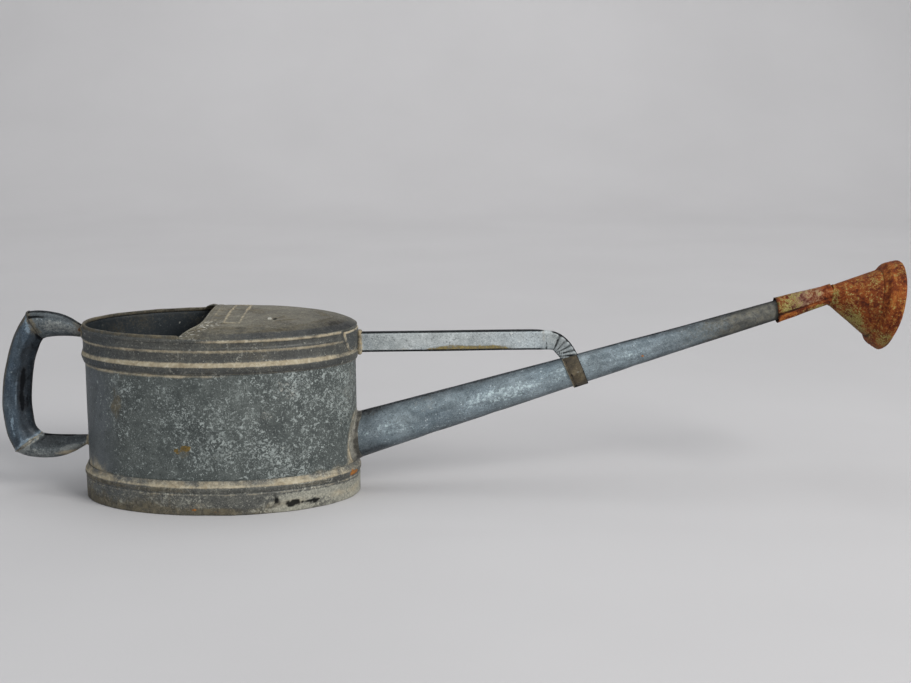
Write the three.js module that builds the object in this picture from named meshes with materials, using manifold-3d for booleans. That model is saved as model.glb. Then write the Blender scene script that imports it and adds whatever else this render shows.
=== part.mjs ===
// Oval watering can of galvanised sheet: tank, half cover, hollow handle, long braced spout, push-on rose.
// Millimetres, +Z up. +X runs from the handle to the rose, and the can stands on z = 0.
// Shapes are set out from the centre of the oval tank. The whole group is then shifted along X, so that the
// origin lies at the bottom centre of the overall box.

import * as THREE from 'three';
import { mergeVertices } from 'three/addons/utils/BufferGeometryUtils.js';
import Module from 'manifold-3d';

const wasm = await Module();
wasm.setup();

// ---- driving dimensions -------------------------------------------------------------------------------

const BOX_MID_X = 230.985; // middle of the overall length, measured from the tank's centre
const HALF_LENGTH = 134.5; // outside of the tank wall, along X
const HALF_WIDTH = 88; // outside of the tank wall, along Y
const SHEET = 1; // sheet thickness
const GAP = 0.3; // clearance between neighbouring sheets
const OVAL_SIDES = 48;

const WALL_BOTTOM = 2;
const WALL_TOP = 170.5;
const FLOOR_TOP = 9; // upper face of the tank's bottom
const COLLAR_LOW_TOP = 171.2; // top of the collar under the cover
const COVER_EDGE_Z = 171.5; // lower edge of the cover
const COVER_SOFT_RISE = 6.2; // broad dome
const COVER_SHOULDER_RISE = 5.4; // quick rise at the rounded shoulder
const COVER_MID_X = -9.5; // free edge of the cover in the middle
const COVER_SIDE_BACK = 20; // how far the free edge runs back at the rim

const SPOUT_X0 = 140; // a point of the spout's axis
const SPOUT_Z0 = 58.4;
const SPOUT_ANGLE = THREE.MathUtils.degToRad(16.68);
const SPOUT_SIDES = 28;
// outside radius of the spout over the X of its axis
const SPOUT_RADII = [
  [110, 23.6], [140, 22.5], [240, 18.9], [333, 15.8], [372, 14.7], [432, 12.6], [480, 11.4], [552, 9.8], [588, 8.8],
];
const WALL_HOLE_R = 20.4;

const STRAP_X = [348.9, 363.4]; // axis X of the strap's two edges
const STAY_WIDTH = 9.5; // across the flat stay, along Y
const STAY_BEVEL = 2.4;

const SLEEVE_X0 = 556.6; // axis X of the sleeve's open end
const SLEEVE_R0 = 12.3;
const SLEEVE_NECK_X = 603; // narrowest place of the sleeve
const SLEEVE_NECK_R = 9.5;
const SLEEVE_END_X = 616;
const SLEEVE_END_R = 10;
const SLEEVE_SHEET = 0.9;
const ROSE_X = 611.3; // where sleeve and cone meet
const ROSE_Z = 197.9;
const ROSE_ANGLE = THREE.MathUtils.degToRad(-10.6);
const ROSE_JOINT_ANGLE = THREE.MathUtils.degToRad(-8);
const ROSE_SIDES = 32;
const FACE_SPRING = 59.4; // axial place of the face's edge
const FACE_R = 43.4;
const FACE_RISE = 9.5;
const FACE_HOLE_R = 1.3;
const FACE_RINGS = [[0, 1], [8.4, 6], [16.8, 12], [25.2, 18], [33.6, 24]];

// ---- helpers ------------------------------------------------------------------------------------------

// closed geometry with shared vertices, no flat triangles, and faces pointing out
function tidy(source) {
  const geometry = source.clone();
  geometry.deleteAttribute('normal');
  geometry.deleteAttribute('uv');
  const merged = mergeVertices(geometry, 1e-3);
  const index = merged.index.array;
  const p = merged.attributes.position;
  const kept = [];
  let volume = 0;
  const a = new THREE.Vector3(), b = new THREE.Vector3(), c = new THREE.Vector3();
  for (let i = 0; i < index.length; i += 3) {
    const [i0, i1, i2] = [index[i], index[i + 1], index[i + 2]];
    if (i0 === i1 || i1 === i2 || i0 === i2) continue;
    kept.push(i0, i1, i2);
    a.fromBufferAttribute(p, i0);
    b.fromBufferAttribute(p, i1);
    c.fromBufferAttribute(p, i2);
    volume += a.dot(b.cross(c));
  }
  if (volume < 0) for (let i = 0; i < kept.length; i += 3) [kept[i], kept[i + 1]] = [kept[i + 1], kept[i]];
  merged.setIndex(kept);
  return merged;
}

function solid(geometry) {
  const g = tidy(geometry);
  return new wasm.Manifold(new wasm.Mesh({
    numProp: 3,
    vertProperties: new Float32Array(g.attributes.position.array),
    triVerts: new Uint32Array(g.index.array),
  }));
}

function geometryOf(manifold) {
  const mesh = manifold.getMesh();
  const g = new THREE.BufferGeometry();
  g.setAttribute('position', new THREE.BufferAttribute(Float32Array.from(mesh.vertProperties), 3));
  g.setIndex(new THREE.BufferAttribute(Uint32Array.from(mesh.triVerts), 1));
  return g;
}

// move every vertex of a geometry with a function of its position
function bend(geometry, move) {
  const p = geometry.attributes.position;
  const v = new THREE.Vector3();
  for (let i = 0; i < p.count; i++) {
    move(v.fromBufferAttribute(p, i));
    p.setXYZ(i, v.x, v.y, v.z);
  }
  return geometry;
}

// turned shape about +Z from [radius, height] points
function lathe(points, sides) {
  return new THREE.LatheGeometry(points.map(([r, z]) => new THREE.Vector2(r, z)), sides).rotateX(Math.PI / 2);
}

// closed band that follows the oval: points are [distance outside the wall, height]
function ovalBand(points) {
  const closed = [...points, points[0]].map(([out, z]) => [HALF_WIDTH + out, z]);
  return bend(lathe(closed, OVAL_SIDES), (v) => {
    const r = Math.hypot(v.x, v.y);
    v.x *= (HALF_LENGTH + r - HALF_WIDTH) / r;
  });
}

// full oval shape from [radius, height] points that start and end on the axis
function ovalTurn(points, out) {
  const stretch = (HALF_LENGTH + out) / (HALF_WIDTH + out);
  return bend(lathe(points, OVAL_SIDES), (v) => { v.x *= stretch; });
}

function ovalBlock(out, z0, z1) {
  const r = HALF_WIDTH + out;
  return solid(ovalTurn([[0, z0], [r, z0], [r, z1], [0, z1]], out));
}

function block(x0, x1, y0, y1, z0, z1) {
  return solid(new THREE.BoxGeometry(x1 - x0, y1 - y0, z1 - z0)
    .translate((x0 + x1) / 2, (y0 + y1) / 2, (z0 + z1) / 2));
}

function shapeOf(points) {
  return new THREE.Shape(points.map(([x, y]) => new THREE.Vector2(x, y)));
}

// flat outline in the XZ plane, given thickness along Y
function sidePlate(points, width, extra = {}) {
  const bevel = extra.bevelThickness ?? 0;
  return new THREE.ExtrudeGeometry(shapeOf(points), { depth: width - 2 * bevel, bevelEnabled: false, ...extra })
    .translate(0, 0, -(width - 2 * bevel) / 2)
    .rotateX(Math.PI / 2);
}

const spoutPoint = (x) => new THREE.Vector3(x, 0, SPOUT_Z0 + Math.tan(SPOUT_ANGLE) * (x - SPOUT_X0));

function spoutRadius(x) {
  for (let i = 1; i < SPOUT_RADII.length; i++) {
    const [x0, r0] = SPOUT_RADII[i - 1];
    const [x1, r1] = SPOUT_RADII[i];
    if (x <= x1 || i === SPOUT_RADII.length - 1) return r0 + ((r1 - r0) * (x - x0)) / (x1 - x0);
  }
  return SPOUT_RADII[0][1];
}

// turned shape about the spout's axis: points are [radius, X of the axis]
function alongSpout(points, sides) {
  const local = points.map(([r, x]) => [r, (x - SPOUT_X0) / Math.cos(SPOUT_ANGLE)]);
  const o = spoutPoint(SPOUT_X0);
  return lathe(local, sides).rotateY(Math.PI / 2 - SPOUT_ANGLE).translate(o.x, o.y, o.z);
}

// turned shape about the rose's axis: points are [radius, distance from the joint]
function alongRose(points, sides, angle = ROSE_ANGLE) {
  return lathe(points, sides).rotateY(Math.PI / 2 - angle).translate(ROSE_X, 0, ROSE_Z);
}

const group = new THREE.Group();

const ZINC = { color: 0x6d7676, roughness: 0.62, metalness: 0.55 };
const ZINC_BLUE = { color: 0x5f6d7a, roughness: 0.55, metalness: 0.6 };
const ZINC_PALE = { color: 0x93a2ad, roughness: 0.55, metalness: 0.55 };
const DUSTY = { color: 0x7a7263, roughness: 0.85, metalness: 0.2 };
const SOLDER = { color: 0x8f8672, roughness: 0.75, metalness: 0.4 };
const BROWN = { color: 0x4f4430, roughness: 0.7, metalness: 0.35 };
const RUST = { color: 0x8a4a26, roughness: 0.9, metalness: 0.1 };

function add(name, shape, finish) {
  const geometry = shape instanceof THREE.BufferGeometry ? tidy(shape) : geometryOf(shape);
  geometry.computeVertexNormals();
  const mesh = new THREE.Mesh(geometry, new THREE.MeshStandardMaterial(finish));
  mesh.name = name;
  group.add(mesh);
}

// ---- tank ---------------------------------------------------------------------------------------------

const wallHole = solid(alongSpout([[0, 100], [WALL_HOLE_R, 100], [WALL_HOLE_R, 170], [0, 170]], SPOUT_SIDES));
add('body_wall', solid(ovalBand([
  [0, WALL_BOTTOM], [0, WALL_TOP], [-SHEET, WALL_TOP], [-SHEET, WALL_BOTTOM],
])).subtract(wallHole), ZINC);

// bottom with its edge turned down inside the wall
const floorR = HALF_WIDTH - SHEET - GAP;
add('bottom_plate', ovalTurn([
  [0, FLOOR_TOP], [floorR - 1.2, FLOOR_TOP], [floorR, FLOOR_TOP - 1.2], [floorR, 3],
  [floorR - SHEET, 3], [floorR - SHEET, FLOOR_TOP - SHEET - 0.6], [floorR - SHEET - 0.6, FLOOR_TOP - SHEET], [0, FLOOR_TOP - SHEET],
], -SHEET - GAP), ZINC);

// foot ring: hemmed lower edge, plain band, groove, bead, then a ledge that runs up onto the wall
add('foot_ring', ovalBand([
  [1.2, 0], [2.7, 0], [3.2, 0.7], [3.2, 20.4], [2.7, 21.6], [3.5, 23.2], [4.25, 25], [4.3, 26.8], [3.8, 28.2],
  [1.4, 32.5], [1.3, 33.6], [GAP, 33.6], [GAP, 32.2], [2.8, 27.6], [3.2, 25.8], [2.1, 21.6], [2.1, 6], [0.9, 5.4], [0.9, 0.5],
]), ZINC);

// outline of the plate that carries the brace, seen along X: [y, z]
const plateHalf = [[0, 146.6], [16, 146.6], [24, 147.2], [28.6, 149.2], [31.5, 154], [34, 160], [36, 165.4], [36, 168.3], [0, 168.3]];
function plateOutline(grow) {
  const half = plateHalf.map(([y, z]) => [y === 0 ? 0 : y + grow, z < 150 ? z - grow : z > 168 ? z + grow : z]);
  return [...half, ...half.slice(1, -1).reverse().map(([y, z]) => [-y, z])];
}
function plateBlock(grow) {
  return solid(new THREE.ExtrudeGeometry(shapeOf(plateOutline(grow)), { depth: 80, bevelEnabled: false })
    .rotateX(Math.PI / 2).rotateZ(Math.PI / 2).translate(90, 0, 0));
}

// collar: bead with its ledge, flat band, two ridges, and the rolled edge of the filling mouth
const collarFull = solid(ovalBand([
  [GAP, 137], [1.3, 137], [1.9, 138.6], [3.1, 142], [3.3, 143.6], [2.9, 145.2], [1.5, 150], [1.3, 151.2],
  [1.3, 159], [2.1, 160.2], [2.1, 162], [1.3, 163.2], [1.3, 167.2], [2.2, 168.4], [2.2, 170], [1.3, 171.2],
  [1.3, 173.2], [0.8, 174.2], [-0.4, 174.5], [-1.3, 174], [-1.5, 172.8], [-1.2, 171.2],
  [GAP, 171.2], [GAP, 150.6], [2.1, 144.2], [2, 142.4], [0.7, 138.4],
]));
// plan of the cover: straight across the middle, running back towards the rim
const coverEdge = [];
for (let i = -12; i <= 12; i++) {
  const y = Math.sign(i) * 100 * Math.abs(i / 12) ** 0.7;
  coverEdge.push([COVER_MID_X - COVER_SIDE_BACK * Math.min(1, Math.abs(y) / 86) ** 6, y]);
}
function coverPlan(shift, z0, z1) {
  const points = [...coverEdge.map(([x, y]) => [x + shift, y]), [200, 100], [200, -100]];
  return solid(new THREE.ExtrudeGeometry(shapeOf(points), { depth: z1 - z0, bevelEnabled: false }).translate(0, 0, z0));
}
const platePocket = plateBlock(0.35).intersect(solid(ovalBand([[1.35, 130], [9, 130], [9, 180], [1.35, 180]])));
add('top_collar', collarFull
  .subtract(coverPlan(-GAP, COLLAR_LOW_TOP, 180).add(ovalBlock(-0.1, COLLAR_LOW_TOP - 0.6, COLLAR_LOW_TOP + 0.1)
    .intersect(coverPlan(-GAP, 160, 180))))
  .subtract(platePocket), ZINC);

// half cover: outer and inner dome, cut along its free edge
function dome(out, soft, shoulder) {
  const points = [[0, COVER_EDGE_Z]];
  const steps = [1, 0.988, 0.965, 0.93, 0.87, 0.76, 0.58, 0.34, 0];
  for (const q of steps) points.push([q * (HALF_WIDTH + out), COVER_EDGE_Z + soft * (1 - q ** 2.4) + shoulder * (1 - q ** 14)]);
  return solid(ovalTurn(points, out));
}
add('half_cover', dome(1.3, COVER_SOFT_RISE, COVER_SHOULDER_RISE)
  .subtract(dome(1.3 - SHEET, COVER_SOFT_RISE - 0.4, COVER_SHOULDER_RISE - 0.6).add(ovalBlock(1.3 - SHEET, COVER_EDGE_Z - 3, COVER_EDGE_Z + 0.01)))
  .intersect(coverPlan(0, 165, 200)), DUSTY);

// ---- handle -------------------------------------------------------------------------------------------

// hollow folded arm with an egg-shaped section; stations are [outer x, outer z, inner x, inner z, half width in Y]
const EGG_SIDES = 18;
function eggSweep(stations) {
  const outline = [];
  for (let i = 0; i < EGG_SIDES; i++) {
    const t = (i / EGG_SIDES) * 2 * Math.PI;
    outline.push([Math.cos(t), Math.sin(t) * (1 + 0.3 * Math.cos(t)) / 1.045]);
  }
  const last = stations.length - 1;
  const raw = new THREE.ExtrudeGeometry(shapeOf(outline), { depth: last, steps: last, bevelEnabled: false });
  return solid(bend(raw, (v) => {
    const [ox, oz, ix, iz, half] = stations[Math.round(v.z)];
    const u = (v.x + 1) / 2;
    v.set(ix + (ox - ix) * u, v.y * half, iz + (oz - iz) * u);
  }));
}
// the same stations with the sheet's thickness taken off, and both ends carried on
function eggInside(stations) {
  const inner = stations.map(([ox, oz, ix, iz, half]) => {
    const length = Math.hypot(ox - ix, oz - iz);
    const k = SHEET / length;
    return [ox + (ix - ox) * k, oz + (iz - oz) * k, ix + (ox - ix) * k, iz + (oz - iz) * k, half - SHEET];
  });
  const carry = (a, b) => {
    const mid = (s) => [(s[0] + s[2]) / 2, (s[1] + s[3]) / 2];
    const [ax, az] = mid(a), [bx, bz] = mid(b);
    const n = 3 / Math.hypot(bx - ax, bz - az);
    const dx = (bx - ax) * n, dz = (bz - az) * n;
    return [b[0] + dx, b[1] + dz, b[2] + dx, b[3] + dz, b[4]];
  };
  return [carry(inner[1], inner[0]), ...inner, carry(inner[inner.length - 2], inner[inner.length - 1])];
}
const hollowArm = (stations) => eggSweep(stations).subtract(eggSweep(eggInside(stations)));
// move a mitred end back along X and Z, to leave half of the joint's clearance
const back = ([ox, oz, ix, iz, half], dx, dz) => [ox + dx, oz + dz, ix + dx, iz + dz, half];

const MITRE_TOP = [-190.5, 184.5, -175.8, 156.9, 12.6];
const MITRE_BOTTOM = [-208.8, 42.2, -181.8, 61.2, 12.6];
add('handle_top_arm', hollowArm([
  [-128, 165.5, -128, 158.2, 7.6], [-138, 171, -138, 158.6, 8.4], [-148.2, 177.6, -147, 159.4, 9.6],
  [-158, 181.8, -156.5, 159.7, 10.8], [-169, 184.2, -165, 159.3, 11.8], [-180, 185.2, -171.5, 158.5, 12.4],
  back(MITRE_TOP, 0.16, 0.05),
]).subtract(ovalBlock(2.6, 100, 200)), ZINC_BLUE);

add('handle_grip', hollowArm([
  back(MITRE_TOP, -0.16, -0.12), [-199, 171.6, -178.6, 152.8, 13], [-206.2, 156.6, -181.8, 145.6, 13.4], [-212.6, 136, -185.6, 134, 13.6],
  [-216.9, 117, -188.7, 117, 13.6], [-219.3, 95, -190.5, 95, 13.6], [-218.5, 77, -189.7, 79, 13.4], [-215.7, 59, -187.6, 68.2, 13],
  back(MITRE_BOTTOM, -0.05, 0.18),
]), ZINC_BLUE);

add('handle_bottom_arm', hollowArm([
  back(MITRE_BOTTOM, 0.12, -0.14), [-197, 37.7, -177.6, 60.2, 12.4], [-185, 35.8, -171.6, 59.6, 12], [-172, 35.7, -164.6, 59.2, 11.4],
  [-160, 37.8, -156.2, 59, 10.6], [-148.6, 42.2, -147.6, 58.9, 9.6], [-138, 48.4, -138, 58.8, 8.2], [-127, 54, -127, 58.8, 7],
]).subtract(ovalBlock(0.35, 0, 200)), ZINC_BLUE);

// ---- spout and brace ----------------------------------------------------------------------------------

function spoutBody(grow) {
  const ends = SPOUT_RADII.length - 1;
  const points = SPOUT_RADII.map(([x, r]) => [r + grow, x]);
  return solid(alongSpout([[0, SPOUT_RADII[0][0]], ...points, [0, SPOUT_RADII[ends][0]]], SPOUT_SIDES));
}
function spoutBore() {
  const points = SPOUT_RADII.map(([x, r], i) => [r - SHEET, i === 0 ? x - 4 : i === SPOUT_RADII.length - 1 ? x + 4 : x]);
  return solid(alongSpout([[0, points[0][1]], ...points, [0, points[points.length - 1][1]]], SPOUT_SIDES));
}
const nearFoot = block(100, 180, -60, 60, 0, 33.95);
add('spout_tube', spoutBody(0).subtract(spoutBore()).subtract(ovalBlock(0.32, 0, 200)).subtract(nearFoot), ZINC_PALE);

// flare of solder around the spout's root
const flare = [[120, 7.8], [129.5, 7.2], [132.5, 4.6], [135.5, 2.8], [138.5, 1.7], [142, 1.1]];
const flareOuter = flare.map(([x, out]) => [spoutRadius(x) + out, x]);
add('spout_root_flange', solid(alongSpout([[0, 120], ...flareOuter, [0, 142]], SPOUT_SIDES))
  .subtract(spoutBody(GAP)).subtract(ovalBlock(0.32, 0, 200)).subtract(nearFoot), SOLDER);

// flat stay: outline of its long sides, then the downward bend that lands on the spout
const stayTop = [
  [128, 162.6], [137.4, 162.7], [179.3, 163], [229.4, 163.5], [279.5, 164], [309.5, 164.1], [323.6, 163.4], [332.7, 162],
  [339.7, 159.2], [345.8, 154.6], [350.9, 148.9], [354.8, 142.8], [358.4, 136.4], [364, 126],
];
const stayBottom = [[350, 121.5], [345.6, 127.6], [340.2, 134.4], [334.4, 141], [331, 143.7], [319.8, 143.9], [279.5, 143.7], [229.3, 143], [179.2, 142.6], [128, 142.2]];
const stayOutline = [...stayTop, ...stayBottom];
const stayBevel = { bevelEnabled: true, bevelThickness: STAY_BEVEL, bevelSize: STAY_BEVEL, bevelOffset: -STAY_BEVEL, bevelSegments: 2 };
const stayInside = [
  [100, 161.5], [137.4, 161.7], [229.4, 162.5], [309.5, 163.1], [323.3, 162.4], [332.3, 161],
  [339, 158.4], [345, 153.9], [350, 148.3], [353.9, 142.3], [357.5, 136], [366, 120],
  [354, 112], [344.8, 128.2], [339.4, 135.2], [334.9, 141.9], [331.4, 144.7], [319.8, 144.9], [279.5, 144.7], [229.3, 144], [100, 143.2],
];
add('brace_stay', solid(sidePlate(stayOutline, STAY_WIDTH, stayBevel))
  .subtract(solid(sidePlate(stayInside, STAY_WIDTH - 2 * SHEET, { ...stayBevel, bevelThickness: STAY_BEVEL - 0.8, bevelSize: STAY_BEVEL - 0.8, bevelOffset: -(STAY_BEVEL - 0.8) })))
  .subtract(spoutBody(GAP)).subtract(ovalBlock(3.7, 100, 200)), ZINC_PALE);

// plate on the collar's end
add('brace_foot_plate', plateBlock(0).intersect(solid(ovalBand([[1.65, 140], [2.65, 140], [2.65, 172], [1.65, 172]]))), ZINC);

// strap: open at the top, where the stay lands
const strapRing = solid(alongSpout([
  [spoutRadius(STRAP_X[0]) + GAP, STRAP_X[0]], [spoutRadius(STRAP_X[0]) + GAP + 1.1, STRAP_X[0]],
  [spoutRadius(STRAP_X[1]) + GAP + 1.1, STRAP_X[1]], [spoutRadius(STRAP_X[1]) + GAP, STRAP_X[1]],
  [spoutRadius(STRAP_X[0]) + GAP, STRAP_X[0]],
], SPOUT_SIDES));
const strapMouth = STAY_WIDTH / 2 + GAP;
add('spout_strap', strapRing.subtract(block(330, 390, -strapMouth, strapMouth, 122, 160)), BROWN);

// ---- rose ---------------------------------------------------------------------------------------------

// half space on one side of the joint between sleeve and cone
function jointSide(from, to) {
  return solid(new THREE.BoxGeometry(to - from, 160, 200).translate((from + to) / 2, 0, 0)
    .rotateY(-ROSE_JOINT_ANGLE).translate(ROSE_X, 0, ROSE_Z));
}
const sleeveLine = [[SLEEVE_R0, SLEEVE_X0], [SLEEVE_NECK_R, SLEEVE_NECK_X], [SLEEVE_END_R, SLEEVE_END_X]];
add('rose_sleeve', solid(alongSpout([
  ...sleeveLine, ...sleeveLine.map(([r, x]) => [r - SLEEVE_SHEET, x]).reverse(), sleeveLine[0],
], SPOUT_SIDES)).intersect(jointSide(-80, -0.15)), RUST);

const coneSlope = (34.2 - 10.7) / 42;
const coneAt = (s, inset) => [10.7 + coneSlope * s - inset, s];
add('rose_cone', solid(alongRose([
  coneAt(-6, 0), coneAt(42, 0), coneAt(42, 1.15), coneAt(-6, 1.15), coneAt(-6, 0),
], ROSE_SIDES)).intersect(jointSide(0.15, 80)), RUST);

add('rose_rim', alongRose([
  [33.1, 42.3], [34.9, 42.3], [40.3, 46.6], [41.5, 48.2], [45.7, 57.6], [45.9, 59.4], [45.2, 61.2], [44, 62],
  [42.4, 62], [42.4, 61.2], [44.2, 60.8], [44.8, 59.4], [44.6, 58], [40.5, 48.8], [39.6, 47.4], [34.2, 43.4], [33.1, 42.3],
], ROSE_SIDES), RUST);

const faceProfile = [];
const bulge = (r) => FACE_SPRING + FACE_RISE * (1 - (r / FACE_R) ** 2);
for (const q of [0, 0.62]) faceProfile.push([q * FACE_R, bulge(q * FACE_R) + 0.9]);
faceProfile.push([FACE_R - 1.2, FACE_SPRING + 1.3], [FACE_R, FACE_SPRING + 0.9], [FACE_R, FACE_SPRING], [FACE_R - 1.2, FACE_SPRING]);
for (const q of [0.62, 0]) faceProfile.push([q * FACE_R, bulge(q * FACE_R)]);
let face = solid(alongRose(faceProfile, ROSE_SIDES));
const holes = [];
FACE_RINGS.forEach(([radius, count], ring) => {
  for (let i = 0; i < count; i++) {
    const t = ((i + 0.5 * (ring % 2)) / count) * 2 * Math.PI;
    const tilt = Math.atan((2 * FACE_RISE * radius) / FACE_R ** 2);
    const pin = new THREE.CylinderGeometry(FACE_HOLE_R, FACE_HOLE_R, 8, 6)
      .rotateX(Math.PI / 2).rotateY(tilt).translate(radius, 0, bulge(radius)).rotateZ(t)
      .rotateY(Math.PI / 2 - ROSE_ANGLE).translate(ROSE_X, 0, ROSE_Z);
    holes.push(solid(pin));
  }
});
face = holes.reduce((body, hole) => body.subtract(hole), face);
add('rose_face', face, RUST);

group.position.x = -BOX_MID_X;

export default group;
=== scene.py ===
import math

import bmesh
import bpy
import numpy as np
from mathutils import Matrix, Vector
from mathutils.geometry import delaunay_2d_cdt


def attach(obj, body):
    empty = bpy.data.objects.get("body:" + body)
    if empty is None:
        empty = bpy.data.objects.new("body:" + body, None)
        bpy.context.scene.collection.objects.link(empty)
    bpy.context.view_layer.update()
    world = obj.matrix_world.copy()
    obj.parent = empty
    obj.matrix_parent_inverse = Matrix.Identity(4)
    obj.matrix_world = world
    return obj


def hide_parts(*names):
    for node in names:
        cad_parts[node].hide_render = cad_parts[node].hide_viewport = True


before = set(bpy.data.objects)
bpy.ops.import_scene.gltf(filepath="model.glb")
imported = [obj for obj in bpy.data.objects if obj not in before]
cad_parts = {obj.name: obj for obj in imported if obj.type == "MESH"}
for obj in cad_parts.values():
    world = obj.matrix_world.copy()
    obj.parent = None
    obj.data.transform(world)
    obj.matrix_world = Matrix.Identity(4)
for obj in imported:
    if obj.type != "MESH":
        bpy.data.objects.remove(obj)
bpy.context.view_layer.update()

# ---------------------------------------------------------------------------------------------
# All sizes below are millimetres, measured from the middle of the oval body at the floor.
# MID moves them into the shared frame, whose origin is under the middle of the whole object.
# ---------------------------------------------------------------------------------------------
MID = 230.985
LONG, WIDE = 134.5, 88.0
SLOPE = math.radians(16.68)
TAU = 2 * math.pi


# ------------------------------------------------------------------ noise and small maths
def lattice(i, j, k, seed):
    h = (i * np.uint64(374761393) + j * np.uint64(668265263) + k * np.uint64(2246822519)
         + np.uint64(seed) * np.uint64(3266489917)) & np.uint64(0xFFFFFFFF)
    h = ((h ^ (h >> np.uint64(15))) * np.uint64(2246822519)) & np.uint64(0xFFFFFFFF)
    h = ((h ^ (h >> np.uint64(13))) * np.uint64(3266489917)) & np.uint64(0xFFFFFFFF)
    h = h ^ (h >> np.uint64(16))
    return (h & np.uint64(0xFFFFFF)).astype(float) / float(0xFFFFFF)


def noise(points, size, seed):
    """Smooth value noise from -1 to 1 at points in millimetres."""
    q = np.asarray(points, float) / size + 4096.0
    i = np.floor(q)
    f = q - i
    s = f * f * (3 - 2 * f)
    i = i.astype(np.uint64)
    total = 0
    for dx in (0, 1):
        for dy in (0, 1):
            for dz in (0, 1):
                w = ((s[..., 0] if dx else 1 - s[..., 0])
                     * (s[..., 1] if dy else 1 - s[..., 1])
                     * (s[..., 2] if dz else 1 - s[..., 2]))
                total = total + w * lattice(i[..., 0] + np.uint64(dx), i[..., 1] + np.uint64(dy),
                                            i[..., 2] + np.uint64(dz), seed)
    return total * 2 - 1


def fbm(points, size, seed, octaves=3, gain=0.5):
    total, amount, norm = 0, 1.0, 0.0
    for o in range(octaves):
        total = total + amount * noise(points, size / 2 ** o, seed + 17 * o)
        norm += amount
        amount *= gain
    return total / norm


def step(a, b, x):
    t = np.clip((np.asarray(x, float) - a) / (b - a), 0, 1)
    return t * t * (3 - 2 * t)


def spot(points, centre, radius, seed=1, ragged=0.35, soft=0.5):
    """1 inside a ragged blot, 0 outside. radius is a number or one for each axis."""
    d = np.linalg.norm((points - np.asarray(centre, float)) / np.asarray(radius, float), axis=-1)
    d = d + ragged * fbm(points, float(np.mean(radius)) * 0.9, seed, 3, 0.6)
    return 1 - step(1 - soft, 1 + soft * 0.3, d)


def rounded(points, longest, arc=3):
    """Closed outline from (a, b, corner radius) points, corners rounded and long sides divided."""
    out = []
    n = len(points)
    for k in range(n):
        p = np.array(points[k][:2], float)
        a = np.array(points[k - 1][:2], float) - p
        b = np.array(points[(k + 1) % n][:2], float) - p
        la, lb = np.linalg.norm(a), np.linalg.norm(b)
        a, b = a / la, b / lb
        r = points[k][2]
        turn = math.acos(float(np.clip(a @ b, -1, 1)))
        if r <= 0 or turn > math.pi - 0.06:
            out.append(p)
            continue
        t = min(r / math.tan(turn / 2), 0.45 * la, 0.45 * lb)
        for s in np.linspace(0, 1, arc + 1):
            out.append((1 - s) ** 2 * (p + a * t) + 2 * s * (1 - s) * p + s * s * (p + b * t))
    full = []
    for k in range(len(out)):
        p, q = out[k], out[(k + 1) % len(out)]
        m = max(1, int(math.ceil(np.linalg.norm(q - p) / longest)))
        for s in range(m):
            full.append(p + (q - p) * s / m)
    return np.array(full)


def along(points, count, sharp=False):
    """A smooth curve through points, at evenly spaced places."""
    p = np.asarray(points, float)
    if not sharp:
        ext = np.vstack([2 * p[0] - p[1], p, 2 * p[-1] - p[-2]])
        fine = []
        for k in range(1, len(ext) - 2):
            a, b, c, d = ext[k - 1], ext[k], ext[k + 1], ext[k + 2]
            for s in np.linspace(0, 1, 24, endpoint=False):
                fine.append(0.5 * (2 * b + (c - a) * s + (2 * a - 5 * b + 4 * c - d) * s * s
                                   + (3 * b - a - 3 * c + d) * s ** 3))
        fine.append(p[-1])
        p = np.array(fine)
    length = np.concatenate([[0], np.cumsum(np.linalg.norm(np.diff(p, axis=0), axis=1))])
    at = np.linspace(0, length[-1], count)
    return np.stack([np.interp(at, length, p[:, k]) for k in range(p.shape[1])], -1)


def oval(t, p):
    return (LONG + p) * np.cos(t), (WIDE + p) * np.sin(t)


def oval_x(y, p):
    """How far the oval at offset p reaches along X at a given y."""
    return (LONG + p) * np.sqrt(np.clip(1 - (y / (WIDE + p)) ** 2, 0, 1))


# ------------------------------------------------------------------ meshes
def quads(nu, nv, close_u, close_v, first=0):
    i = np.arange(nu if close_u else nu - 1)
    j = np.arange(nv if close_v else nv - 1)
    i, j = np.meshgrid(i, j, indexing="ij")
    a, b = i * nv + j, ((i + 1) % nu) * nv + j
    c, d = ((i + 1) % nu) * nv + (j + 1) % nv, i * nv + (j + 1) % nv
    return (np.stack([a, b, c, d], -1).reshape(-1, 4) + first).tolist()


def shown(points):
    return (np.asarray(points, float).reshape(-1, 3) - np.array([MID, 0, 0])) * 0.001


def piece(name, points, faces, material, body, replaces=(), paint=None, outward=True):
    mesh = bpy.data.meshes.new(name)
    mesh.from_pydata(shown(points).tolist(), [], faces)
    mesh.validate()
    if outward:
        bm = bmesh.new()
        bm.from_mesh(mesh)
        bmesh.ops.recalc_face_normals(bm, faces=bm.faces)
        bm.to_mesh(mesh)
        bm.free()
    mesh.shade_smooth()
    mesh.update()
    obj = bpy.data.objects.new(name, mesh)
    bpy.context.scene.collection.objects.link(obj)
    mesh.materials.append(material)
    co = np.zeros(len(mesh.vertices) * 3)
    mesh.vertices.foreach_get("co", co)
    normal = np.zeros(len(mesh.vertices) * 3)
    mesh.vertices.foreach_get("normal", normal)
    co = co.reshape(-1, 3) * 1000 + np.array([MID, 0, 0])
    normal = normal.reshape(-1, 3)
    if paint:
        for key, values in paint(co, normal).items():
            attribute = mesh.attributes.new(key, "FLOAT", "POINT")
            attribute.data.foreach_set("value", np.clip(values, 0, 1).astype(np.float32))
    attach(obj, body)
    if replaces:
        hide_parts(*replaces)
    return obj


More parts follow.
